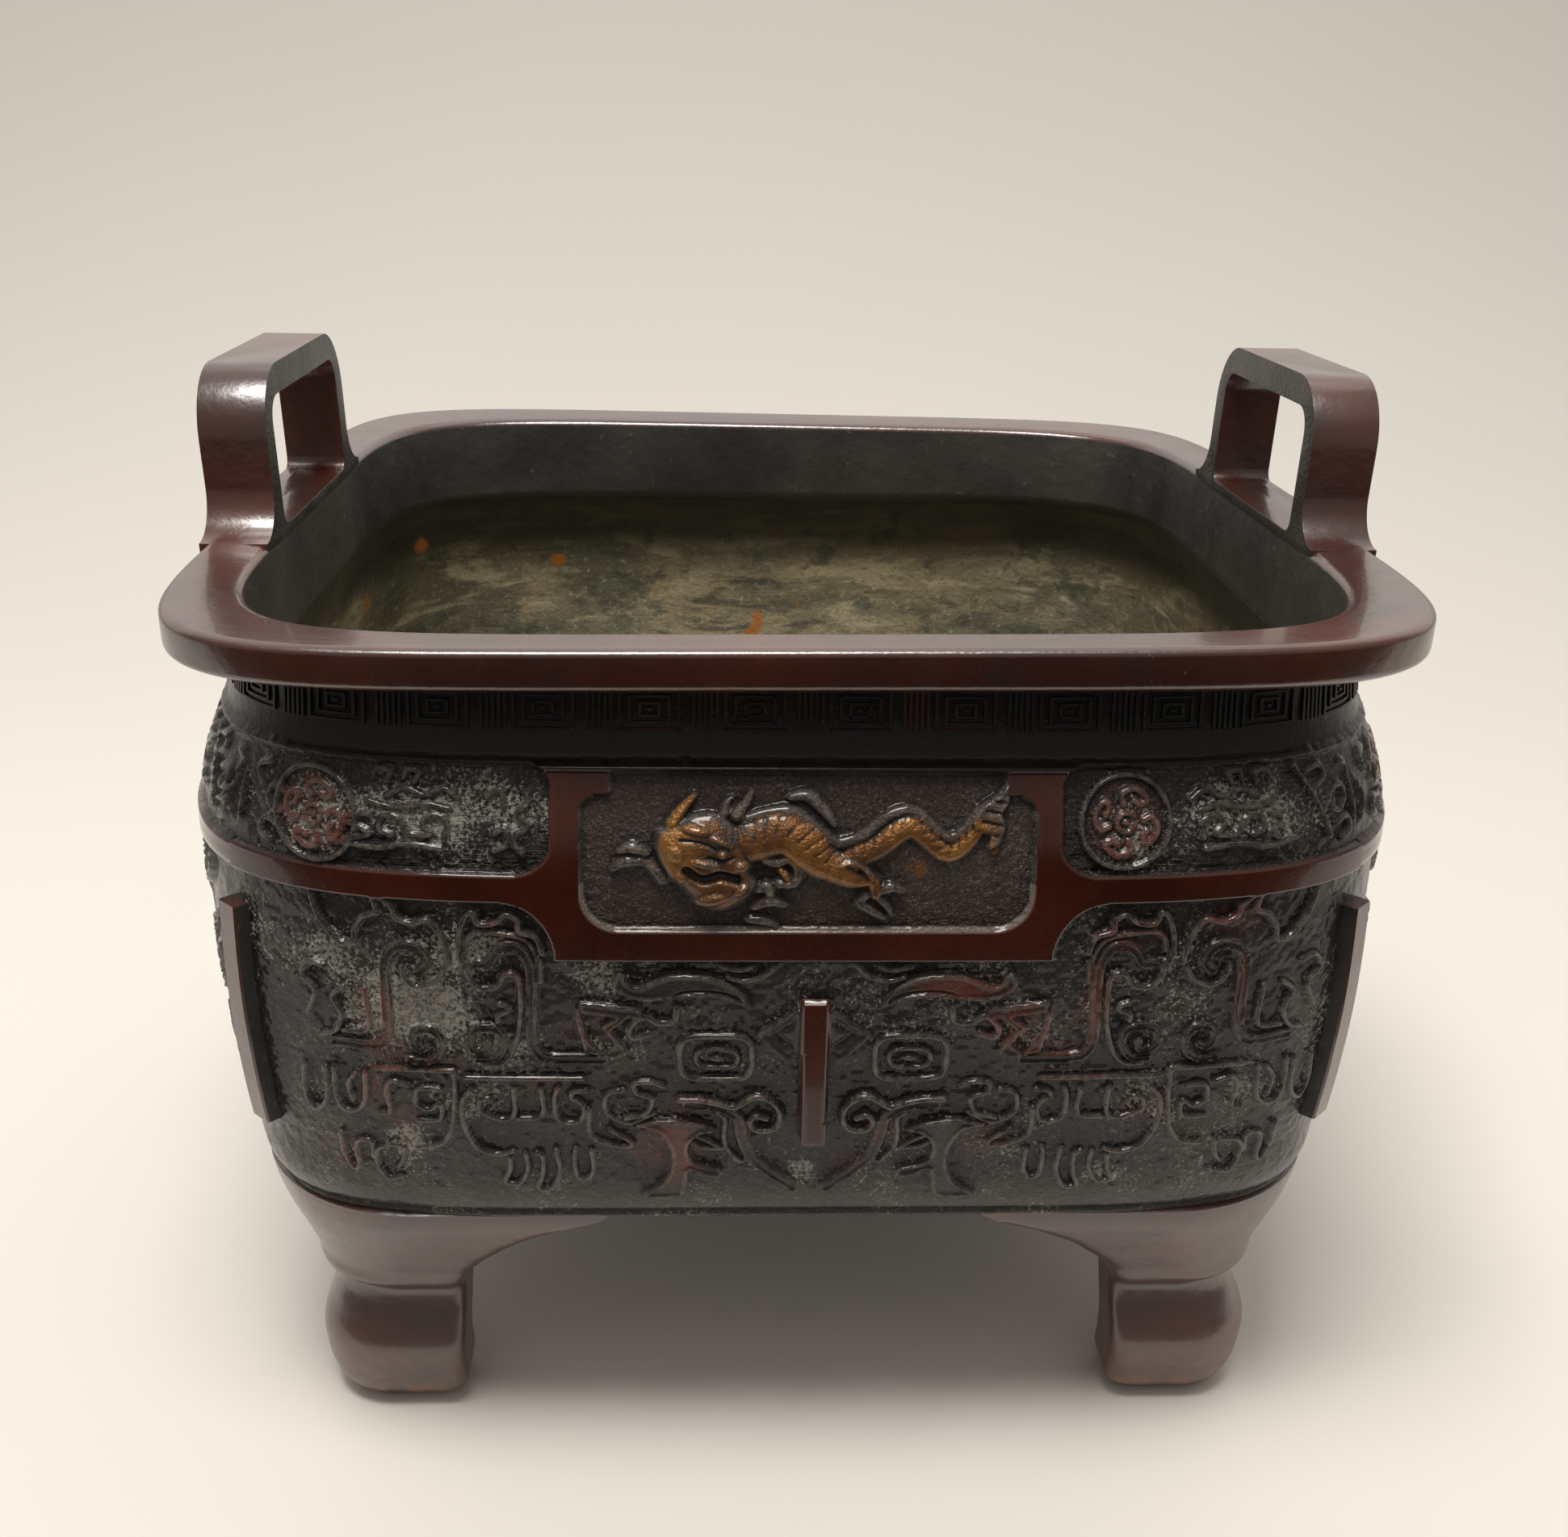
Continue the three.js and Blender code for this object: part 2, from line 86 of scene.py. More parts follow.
def through(levels, z):
    """A smooth curve through rows of [height, values...], read at the heights z."""
    height, values = levels[:, 0], levels[:, 1:]
    slope = np.gradient(values, height, axis=0)
    k = np.clip(np.searchsorted(height, z) - 1, 0, len(height) - 2)
    gap = (height[k + 1] - height[k])[:, None]
    t = (z - height[k])[:, None] / gap
    start = (2 * t**3 - 3 * t**2 + 1) * values[k] + (t**3 - 2 * t**2 + t) * gap * slope[k]
    return start + (3 * t**2 - 2 * t**3) * values[k + 1] + (t**3 - t**2) * gap * slope[k + 1]


def quarter(z, side):
    """Tables from the middle of a side to its corner: length along the wall, x, y."""
    half, square = through(WALL, z).T[:, :, None]
    wide = half + (DEEPER if side % 2 else 0)
    deep = half + (0 if side % 2 else DEEPER)
    x = np.linspace(0, 1, 320) * wide * 0.5 ** (1 / square)
    y = deep * (1 - (x / wide) ** square) ** (1 / square)
    step = np.hypot(np.diff(x, axis=1), np.diff(y, axis=1))
    length = np.concatenate([np.zeros((len(z), 1)), np.cumsum(step, axis=1)], axis=1)
    return length, x, y, wide, deep, square

print("wall half width at the strap", through(WALL, np.array([153.5]))[0, 0].round(1), "mm")

# %% [markdown]
# ## Drawing relief
# Relief is a height for every place on the wall. It could be sculpted, or carved from solids,
# but drawing it is easier to change. A place is told by u, how far it lies to the right along the
# wall, and drop, how far below the rim. Each stroke raises the places near its path, and the
# distance to the path gives round, clean edges at any slope.

# %% Paths and distances
def ease(t):
    t = np.clip(t, 0, 1)
    return t * t * (3 - 2 * t)


def bend(path, steps=5):
    """A smooth line through the points of a path."""
    p = np.array(path, float)
    p = np.vstack([2 * p[0] - p[1], p, 2 * p[-1] - p[-2]])
    t = np.linspace(0, 1, steps, endpoint=False)[:, None]
    spans = []
    for a, b, c, d in zip(p, p[1:], p[2:], p[3:]):
        spans.append(0.5 * (2 * b + (c - a) * t + (2 * a - 5 * b + 4 * c - d) * t**2
                            + (3 * b - a - 3 * c + d) * t**3))
    return np.vstack([*spans, p[-2:-1]])


def measure(u, v, path):
    """Distance to a path, length along it, and the side of it (+ or -), for every place."""
    best = np.full(u.shape, 1e9)
    along = np.zeros(u.shape)
    hand = np.ones(u.shape)
    run = 0.0
    for (au, av), (bu, bv) in zip(path[:-1], path[1:]):
        du, dv = bu - au, bv - av
        span = math.hypot(du, dv)
        if span < 1e-6:
            continue
        t = np.clip(((u - au) * du + (v - av) * dv) / span**2, 0, 1)
        eu, ev = u - au - t * du, v - av - t * dv
        far = eu * eu + ev * ev
        near = far < best
        best[near] = far[near]
        along[near] = run + t[near] * span
        hand[near] = np.sign(du * ev - dv * eu)[near]
        run += span
    return np.sqrt(best), along, hand


def inside(u, v, loop):
    """True for the places inside a closed loop."""
    found = np.zeros(u.shape, bool)
    for (au, av), (bu, bv) in zip(loop, np.roll(loop, -1, axis=0)):
        if av == bv:
            continue
        crosses = (v >= min(av, bv)) & (v < max(av, bv))
        found ^= crosses & (u < au + (v - av) / (bv - av) * (bu - au))
    return found

print("a path of 3 points becomes one of", len(bend([(0, 0), (1, 1), (2, 0)])))

# %% A sheet that strokes are drawn on
WIDER = 0.12  # a cast line is this much wider, to each side, than the one in the mould


class Sheet:
    """Heights and finishes on one stretch of wall."""

    def __init__(self, u, drop):
        self.u, self.drop = u, drop
        self.high = np.zeros(u.shape)
        self.lift = 1.0
        self.paint = {name: np.zeros(u.shape) for name in ("plain", "gilt", "red", "pale")}

    def near(self, path, margin):
        """The places in the box round a path."""
        low, top = path.min(0) - margin, path.max(0) + margin
        pick = (self.u > low[0]) & (self.u < top[0]) & (self.drop > low[1]) & (self.drop < top[1])
        return np.nonzero(pick)

    def raise_to(self, pick, high):
        """Raises places to a height, unless they stand higher already."""
        self.high[pick] = np.maximum(self.high[pick], np.where(high > 0, high * self.lift, -9))

    def thread(self, path, wide=1.2, high=0.9, smooth=True):
        """A round raised line."""
        path = bend(path) if smooth else np.array(path, float)
        pick = self.near(path, wide)
        far, _, _ = measure(self.u[pick], self.drop[pick], path)
        reach = wide / 2 + WIDER
        self.raise_to(pick, high * np.sqrt(np.clip(1 - (far / reach) ** 2, 0, 1)))

    def ribbon(self, path, wide=2.4, high=0.95, smooth=True):
        """A flat band with a raised edge along both sides."""
        path = bend(path) if smooth else np.array(path, float)
        pick = self.near(path, wide)
        far, _, _ = measure(self.u[pick], self.drop[pick], path)
        body = 0.62 * high * ease((wide / 2 + 0.25 - far) / 0.5)
        edge = high * np.exp(-(((far - wide / 2 + 0.35) / 0.42) ** 2))
        self.raise_to(pick, np.maximum(body, edge * (far < wide / 2 + 0.5)))

    def plate(self, loop, high=0.7, edge=0.6, border=0.35, smooth=True):
        """A flat raised shape with a fine raised border."""
        loop = bend([*loop, loop[0]]) if smooth else np.array([*loop, loop[0]], float)
        pick = self.near(loop, 1.0)
        u, v = self.u[pick], self.drop[pick]
        far, _, _ = measure(u, v, loop)
        deep = np.where(inside(u, v, loop[:-1]), far, -far)
        top = high * ease((deep + edge / 2) / edge) + border * np.exp(-(((deep - 0.45) / 0.4) ** 2))
        self.raise_to(pick, top * (deep > -edge / 2))

    def tube(self, path, radii, high, smooth=True):
        """A round body whose radius changes along its path."""
        path = bend(path) if smooth else np.array(path, float)
        radii = np.array(radii, float)
        pick = self.near(path, radii.max() + 0.5)
        far, along, hand = measure(self.u[pick], self.drop[pick], path)
        total = np.hypot(*np.diff(path, axis=0).T).sum()
        radius = np.interp(along / total, np.linspace(0, 1, len(radii)), radii)
        top = high * (radius / radii.max()) ** 0.6 * np.sqrt(np.clip(1 - (far / radius) ** 2, 0, 1))
        self.raise_to(pick, top)
        return pick, far / radius, along, hand

    def dome(self, u, v, wide, tall, high, tilt=0.0):
        """An oval swelling."""
        c, s = math.cos(math.radians(tilt)), math.sin(math.radians(tilt))
        du, dv = self.u - u, self.drop - v
        far = np.hypot((du * c + dv * s) / wide, (dv * c - du * s) / tall)
        pick = np.nonzero(far < 1)
        self.raise_to(pick, high * np.sqrt(1 - far[pick] ** 2))

    def cut(self, path, wide, deep, smooth=True):
        """A groove."""
        path = bend(path) if smooth else np.array(path, float)
        pick = self.near(path, wide)
        far, _, _ = measure(self.u[pick], self.drop[pick], path)
        self.high[pick] -= deep * np.clip(1 - (far / (wide / 2)) ** 2, 0, 1)

    def spot(self, name, u, v, wide, tall, strength=1.0, soft=0.4):
        """Paints a soft oval of a finish."""
        far = np.hypot((self.u - u) / wide, (self.drop - v) / tall)
        self.paint[name] = np.maximum(self.paint[name], strength * ease((1 - far) / soft))

print("strokes ready")

# %% [markdown]
# ## The mask
# Under the cartouche a mask fills the belly: a bar for the nose, square eyes, brows that end in
# little dragon heads, jaws, and hooked ribbons with flame crests on either side. A founder presses
# one pattern for both halves. In the same way the right half is drawn here as lists of strokes,
# and then turned over its middle line.

# %% Thin scrolls of the mask
MASK_U = 2.5  # the middle line of the mask
SCROLLS = [
    [(61.3, 100.3), (60.8, 106), (62.5, 108.2), (66.5, 108.5)],
    [(51.3, 100.8), (54.2, 101.2), (54.6, 102.8), (53, 103.7), (52, 106.2), (53, 109), (55.8, 109.5),
     (58, 107.8), (58.3, 103), (57.5, 100.3)],
    [(67.5, 100.3), (67.5, 107), (70, 108.7), (73.3, 107.8), (75.4, 106.2), (75.2, 103.7), (73.3, 103),
     (72, 104.5), (72.8, 105.8)],
    [(84, 101), (89.2, 101), (89.8, 105), (87, 106.5), (84.6, 104.8), (84.2, 107.5), (85.4, 109.3),
     (89.8, 109.6)],
    [(80.8, 96), (80.8, 101), (81.7, 108.7), (82.7, 112.8), (85.4, 116.2), (90.5, 117.4)],
    [(77, 100.8), (79.2, 103.7), (79.6, 108.7), (78.3, 113.7), (75.8, 117.4), (71.7, 118.7), (68.3, 117.8)],
    [(50.8, 117.5), (50.6, 123.5), (52.5, 125.8), (54.3, 124.3), (54.6, 119.5), (54.2, 117)],
    [(58.6, 117.5), (58, 123.7), (60, 128.3), (63, 128.2), (61.9, 124.5), (61.7, 119.5), (63, 118.2)],
    [(65.6, 118.5), (65.3, 123), (67.5, 126.8), (70.6, 126.6), (69.4, 123), (69.2, 119.6)],
    [(93.8, 117.4), (94.5, 121.2), (95.8, 123.3)],
    [(95, 117), (98.3, 117.4), (100.8, 119.5), (100.4, 123.7), (98.3, 126.6), (95.4, 126)],
    [(101.7, 121), (101.7, 116.8), (105, 116.8), (105.8, 120.3), (105.4, 123.7), (106.7, 124.9),
     (108.8, 121.2), (109.2, 115.3)],
    [(64.6, 79), (64.6, 73), (66, 71.2), (68, 71.6), (69.6, 74.2), (73.3, 74.6), (75.6, 72.2), (76, 68.5)],
    [(64.6, 79), (65, 83), (65.8, 87), (67.5, 91.4), (70, 94), (73.8, 94.1)],
    [(69.3, 78.5), (67, 79.7), (69.8, 81.4), (70, 83)],
    [(99.6, 76.5), (99.4, 86), (105.4, 87.3)],
    [(104.6, 76.5), (107.4, 79), (105.6, 83), (107.3, 87.5), (111, 89)],
    [(109, 72), (113, 71.5), (114.6, 75), (111.5, 78), (114, 84)],
    [(101.4, 97.5), (102.2, 105.5), (105, 108.4), (108, 107.6), (109.2, 103), (108.8, 97)],
    [(103.8, 98.2), (105.6, 101), (105, 105.4)],
    [(111, 97.6), (111.6, 106), (115, 109.6), (117.2, 105), (116.6, 98)],
    [(81.6, 95.9), (98.5, 96.1)],
    [(52, 97.6), (78.2, 97.6)],
    [(11, 68.8), (13.3, 71.2), (17.5, 72.6), (21, 71.8)],
    [(16, 69.2), (18.6, 70), (22.5, 69)],
    [(46.6, 111.4), (41.8, 115.4), (44.6, 116.2), (50.6, 113.2), (51, 106)],
    [(34.8, 99.7), (37.2, 98.7), (41, 99), (40.4, 101.6), (37.2, 103), (38.6, 107), (43, 108.4)],
    [(37, 107), (42.4, 109.6), (47.2, 106.6), (46.8, 101.8), (43.4, 100.6)],
    [(91.5, 100.2), (95.2, 99.3), (96.8, 102), (96.2, 107.4), (98.6, 108.2)],
]

print(len(SCROLLS), "scrolls on each half of the mask")

# %% Larger strokes of the mask
HOOK_NEAR = [(47.5, 92.3), (58, 92.2), (61.4, 90.6), (62.6, 86), (62.2, 78), (62, 70), (63.6, 65.6),
             (66.6, 64.4), (69.4, 65.6), (71.4, 68.6), (73.8, 69)]
HOOK_FAR = [(107.5, 90.1), (98, 90), (95.2, 87.2), (94.6, 82), (94.4, 72), (93.2, 67), (90, 65.2),
            (86.6, 65.9), (85, 68.6), (86.8, 71.4)]
CREST_NEAR = [(59.4, 66), (60.6, 62.4), (64.2, 61), (64.4, 58.6), (66.8, 57.2), (69.4, 59.2), (73, 59.4),
              (74.2, 56.8), (76.2, 58.8), (77.5, 64), (76.8, 70)]
CREST_FAR = [(80, 69), (80.4, 65.4), (81.6, 62), (84.2, 59), (87.6, 60), (91, 58.8), (92, 56.2),
             (96, 53.9), (95.4, 57.6), (98.7, 59.2), (100.6, 62), (101.3, 65.4), (104.9, 65.3),
             (109, 60.4), (110.6, 55.6)]
BROW = [(15.8, 79.6), (17.5, 76), (20.8, 72.9), (25.8, 71.1), (32.5, 70.9), (36.7, 72.4), (40, 73.9),
        (41.6, 73), (42.3, 71), (43.9, 70.4), (45, 72.7), (44.2, 74.9), (41.2, 76.6), (38, 77.4),
        (32.5, 76.9), (27, 76.2), (21, 77.2)]
LEG = [(42.5, 110.2), (36.7, 111.4), (34.5, 114.3), (33.3, 117.7), (33.3, 122.7), (35.5, 126.8),
       (40, 130.6), (32, 131), (30, 128.5), (29.3, 123.4), (25.8, 124.6), (22.6, 125.2), (22.1, 122.9),
       (27.3, 121.4), (29.3, 119), (29.2, 115.6), (27, 112.8), (23.5, 111.6), (28, 109.4), (35, 108.6)]
EYE = [(15.8, 89), (17.8, 86.9), (23, 86.6), (29, 86.9), (31, 89), (31.2, 92.6), (30.8, 95.6), (29, 97.4),
       (23, 97.9), (17.8, 97.6), (16, 95.6), (15.6, 92.4), (15.8, 89)]
PUPIL = [(18.6, 92.3), (19.6, 90.3), (23, 89.9), (26.6, 90.3), (27.8, 92.3), (26.6, 94.4), (23, 94.8),
         (19.6, 94.4), (18.6, 92.3)]
CURL_NEAR = [(75, 92.6), (71, 92.2), (69, 89), (69.2, 86), (71, 84.7), (75, 84.9), (76.6, 87.4),
             (75.8, 90.2), (73, 90.3), (72.4, 88.2)]
CURL_FAR = [(90.6, 93.4), (86.4, 93.6), (83.6, 91.4), (83, 88), (84.8, 85.5), (88.2, 85.7),
            (89.4, 88.2), (88.2, 90.6), (86.2, 89.8)]
BEAK = [(39.4, 79), (52.4, 77.8), (51.8, 80.4), (44.6, 81.6), (47.8, 84), (45, 88.4), (47.6, 91),
        (51, 86), (52.6, 78), (52.8, 77.4), (53.2, 82), (51.4, 90.6), (44.6, 92.2), (42, 90.6),
        (43.4, 87.4), (45.4, 84.8), (42, 81.8), (38.6, 82)]
BEAK_CURL = [(31.6, 79.4), (32.4, 82.6), (35.8, 83), (38.8, 81.4), (41.8, 84.4), (41, 86.8), (37.8, 85.8)]
JAW = [(29.6, 104.4), (25, 104.6), (21.4, 105.8), (18.6, 108.4), (17.8, 113), (16, 118.6),
       (12, 123.2), (6.2, 128)]
NOSTRIL = [(31.2, 103.2), (27, 103.3), (23, 104.2), (19.4, 105.2), (15.6, 102.7), (12.4, 102.9),
           (9.8, 105.6), (9.4, 108.8), (11, 111.4), (14.4, 111.6), (16, 109.4), (14.6, 107.6), (12.4, 108.4)]
STROKES = [
    ("ribbon", HOOK_NEAR, {}),
    ("ribbon", HOOK_FAR, {}),
    ("thread", CREST_NEAR, {"wide": 1.3, "high": 1.05}),
    ("thread", CREST_FAR, {"wide": 1.3, "high": 1.05}),
    ("thread", [(76.2, 66), (75.6, 63), (73, 61.4), (68, 61.8), (63, 63), (60.6, 67), (60.2, 73)],
     {"wide": 1.1, "high": 0.8}),
    ("thread", [(81.2, 70), (83, 73.4), (87.4, 74.9), (90, 73), (90.6, 70)], {"wide": 1.1, "high": 0.9}),
    ("ribbon", CURL_NEAR, {"wide": 1.9}),
    ("ribbon", CURL_FAR, {"wide": 1.9}),
    ("thread", EYE, {"wide": 1.5}),
    ("thread", PUPIL, {"wide": 1.0, "high": 0.75}),
    ("plate", BROW, {"high": 0.75, "border": 0.45}),
    ("cut", [(17.5, 78.2), (20.8, 76), (25, 75.2), (30, 75.4), (34.2, 77)], {"wide": 0.8, "deep": 0.5}),
    ("plate", BEAK, {"high": 0.6, "smooth": False}),
    ("thread", BEAK_CURL, {"wide": 1.7, "high": 0.95}),
    ("ribbon", JAW, {"wide": 2.5, "high": 1.1}),
    ("thread", NOSTRIL, {"wide": 1.7, "high": 1.25}),
    ("thread", [(17.9, 121), (21.2, 116.6), (21.6, 112), (21.4, 108.6), (23.2, 106.8)],
     {"wide": 1.1, "high": 0.85}),
    ("thread", [(22, 116.8), (25.4, 114.6), (27.6, 113.4)], {}),
    ("thread", [(22.6, 117), (26.6, 116.6), (28.4, 115.4)], {}),
    ("plate", LEG, {"high": 0.75, "border": 0.45}),
    ("plate", [(5.4, 79.2), (15, 86), (8, 93.6), (5.4, 91)], {"high": 0.55, "border": 0.5, "smooth": False}),
    ("cut", [(7.4, 83.4), (10.6, 86), (8, 88.6)], {"wide": 2.6, "deep": 0.7, "smooth": False}),
]
print(len(STROKES), "larger strokes")

# %% Mask
def other_half(path):
    """A path turned over the middle line. The left half of the casting is a little narrower."""
    return [(2 * MASK_U - u + 0.055 * max(u - 60, 0), v) for u, v in path]


def nose_bar(sheet):
    """A smooth upright bar, whose face stands farther out the lower it is."""
    top, foot = 77.6, 113.4
    sheet.plate([(-0.3, top), (5.4, top), (5.6, foot), (0, foot)], 3.2, edge=0.5, border=0, smooth=False)
    on_bar = sheet.high > 3.1
    sheet.high[on_bar] = 2.3 + 3.0 * (sheet.drop[on_bar] - top) / 36
    nose = (sheet.u > -0.6) & (sheet.u < 5.9) & (sheet.drop > top - 0.4) & (sheet.drop < foot + 0.4)
    sheet.paint["plain"][nose] = 1


def mask(sheet):
    sheet.lift = 1.45
    for way in (lambda path: path, other_half):
        for path in SCROLLS:
            sheet.thread(way(path))
        for kind, path, measures in STROKES:
            getattr(sheet, kind)(way(path), **measures)
        (u, drop), = way([(23.2, 92.4)])
        sheet.dome(u, drop, 1.9, 0.9, 0.8)
    sheet.lift = 1.0
    nose_bar(sheet)


print("nose bar", 5.7, "mm wide")

# %% [markdown]
# ## Straps and the cartouche
# A smooth strap runs round the belly and widens into a plate on every side. The plate's window has
# stepped upper corners and round lower ones, with a bright chamfer along the sill. The strap could
# be a piece of its own, but it is cast with the wall. So it is a share between 0 and 1, which
# levels the relief under it.

# %% Strap, plate and window
STRAP_PROUD = 1.75
STRAP_TOP, STRAP_FOOT = 48.3, 54.5  # drops below the rim


def band(v, low, top, soft=0.5):
    """1 between two drops, 0 outside them."""
    return ease((v - low) / soft + 0.5) * ease((top - v) / soft + 0.5)


def plate_half(drop):
    """Half the width of the plate at each drop, with its hollow spread into the strap."""
    t = np.clip((drop - 54.6) / 13, 0, 1)
    below = 62.4 - 10.4 * np.sqrt(1 - (1 - t) ** 2)
    above = 52.2 + 9 * (1 - np.sqrt(1 - np.clip((drop - 41.5) / 7, 0, 1) ** 2))
    flare = 52.2 + 3.2 * np.clip((30.5 - drop) / 4, 0, 1) ** 2
    return np.where(drop > 51, below, np.maximum(above, flare))


def window_deep(u, drop):
    """How deep inside the window each place lies, in mm; less than nothing outside it."""
    across = np.abs(u - 0.3)
    half = np.where(drop < 32, 40.8, 46.9)
    corner = 8.5
    cu, cv = np.maximum(across - (46.9 - corner), 0), np.maximum(drop - (60.9 - corner), 0)
    lower = corner - np.hypot(cu, cv)
    notch_u, notch_v = np.maximum(across - 43.4, 0), np.maximum(35.6 - drop, 0)
    upper = 3.6 - np.hypot(notch_u, notch_v)
    flat = np.minimum(half - across, np.minimum(drop - 27.4, 60.9 - drop))
    deep = np.where((cu > 0) & (cv > 0), lower, flat)
    return np.where((notch_u > 0) & (notch_v > 0) & (drop >= 32), np.minimum(deep, upper), deep)


def straps(sheet):
    """Levels the relief under strap and plate, and sinks the window into the plate."""
    u, drop = sheet.u, sheet.drop
    strap = band(drop, STRAP_TOP, STRAP_FOOT)
    half = plate_half(drop)
    plate = ease((half - np.abs(u)) / 0.5 + 0.5) * band(drop, 26.4, 67.6)
    deep = window_deep(u, drop)
    window = ease(deep / 1.3)
    proud = np.maximum(strap, plate)
    sheet.high = sheet.high * (1 - proud) + STRAP_PROUD * proud
    sheet.high = sheet.high * (1 - window) + (0.1 + 0.22 * rough(u, drop, 1.1, 21)) * window
    sheet.paint["plain"] = np.maximum(sheet.paint["plain"], proud) * (1 - ease(deep / 0.5))
    sheet.paint["window"] = ease(deep / 0.8)
    sheet.paint["chamfer"] = ease((deep + 0.15) / 0.3) * ease((1.25 - deep) / 0.3) * (drop > 50)

print("window", round(2 * 46.9, 1), "x", round(60.9 - 27.4, 1), "mm")

# %% [markdown]
# ## The dragon
# A young dragon crawls across the window, with a big carved head, a twisting body and a
# tufted tail. Its long parts are tubes whose radius changes along a path, and its head is a domed
# outline with swellings and cuts. The same strokes say where the gilding lies.

# %% Dragon's body
DRAGON_BODY = [(-11.5, 41), (-5, 39.4), (-0.6, 41.8), (3.6, 45.2), (7.6, 46), (10.6, 43.8), (14.5, 42),
               (18.3, 39.2), (21.2, 38), (24.2, 40), (27.2, 42.6), (29.8, 43), (32.8, 40.6), (35.3, 37.6)]
GIRTH = [4.4, 4.6, 4.6, 4.8, 4.0, 3.2, 2.8, 2.6, 2.5, 2.4, 2.3, 2.2, 2.0, 1.6]
SPINE = [(-12.5, 36.8), (-8, 35.6), (-3, 35.4), (1.6, 38.4), (5.4, 41.2), (8.6, 41), (12, 39.4),
         (15.2, 36.8), (19, 35), (22.6, 35.4), (26, 38.6), (29.4, 40.2), (32.4, 38.2), (34.8, 35)]
HIP = [(6.3, 46.6), (9.4, 48.4), (13.4, 49.2), (14.2, 52.4)]
SCALE_PITCH = 2.3


def gild(sheet, pick, share):
    sheet.paint["gilt"][pick] = np.maximum(sheet.paint["gilt"][pick], share)


def dragon_body(sheet):
    sheet.tube(SPINE, [1.2, 1.5, 1.4, 1.3, 1.2, 1.2, 1.1], 1.6)
    pick, far, along, hand = sheet.tube(DRAGON_BODY, GIRTH, 3.0)
    scale = np.sin(2 * math.pi * (along + 1.6 * far * hand) / SCALE_PITCH)
    sheet.high[pick] -= 0.28 * ease((scale - 0.55) / 0.4) * (far < 0.85) * (hand < 0.5)
    gild(sheet, pick, ease((0.97 - far) / 0.12))
    pick, far, _, _ = sheet.tube(HIP, [3.6, 2.6, 1.7, 1.3], 3.1)
    gild(sheet, pick, ease((0.97 - far) / 0.12))
    sheet.thread([(6.8, 48.2), (6.4, 46), (8.4, 44.8), (11, 45.6), (13.4, 48)], 1.1, 3.3)


print("dragon's body swells to", 2 * max(GIRTH), "mm")

# %% Dragon's head
SKULL = [(-30.8, 38.4), (-31.1, 42.3), (-30.1, 45.5), (-28.3, 48.8), (-25.7, 50.7), (-22.6, 54),
         (-19.5, 55.8), (-16.3, 55.9), (-13.2, 54), (-10.6, 51.4), (-10, 49.4), (-11.3, 47.5),
         (-11, 44.9), (-11.9, 41.6), (-13.8, 39), (-16.3, 36.4), (-19.5, 35.1), (-22.6, 35.4),
         (-25.7, 36.4), (-28.3, 37.4)]
# Place, half width, half height, how high, and tilt: brows, eye, cheek, nose, lip, jaw, chin, ear.
FACE = [
    (-22, 38.2, 4.6, 1.3, 3.9, 8), (-17.6, 40.2, 4.2, 1.2, 4.1, 22), (-17.2, 42.8, 1.6, 1.4, 4.4, 0),
    (-26.6, 42.8, 3.2, 2.6, 3.7, 60), (-20.6, 44.9, 5.4, 1.3, 3.9, 12), (-13.6, 45.6, 2.4, 1.9, 3.7, 0),
    (-19, 52.6, 4.6, 2.2, 3.9, -12), (-13.4, 50.6, 2.6, 1.3, 4.0, -40), (-25.4, 47.4, 2.0, 2.6, 3.6, 0),
]


def dragon_head(sheet):
    loop = bend([*SKULL, SKULL[0]])
    pick = sheet.near(loop, 0.5)
    u, v = sheet.u[pick], sheet.drop[pick]
    far, _, _ = measure(u, v, loop)
    deep = np.where(inside(u, v, loop[:-1]), far, 0)
    sheet.raise_to(pick, 3.0 * np.sqrt(np.clip(1 - (1 - np.clip(deep / 4.5, 0, 1)) ** 2, 0, 1)))
    gild(sheet, pick, 0.85 * ease((deep - 0.8) / 0.8))
    for swelling in FACE:
        sheet.dome(*swelling)
    sheet.cut([(-24.6, 46.6), (-21.3, 48.4), (-17.6, 47.6), (-14.4, 48.4)], 2.6, 1.7)
    sheet.cut([(-25.6, 40.2), (-21.4, 40.6), (-18.6, 41.9)], 0.9, 0.7)
    sheet.cut([(-20, 43.6), (-17.4, 44.4), (-15, 43.6)], 0.8, 0.6)


print(len(FACE), "swellings on the face")

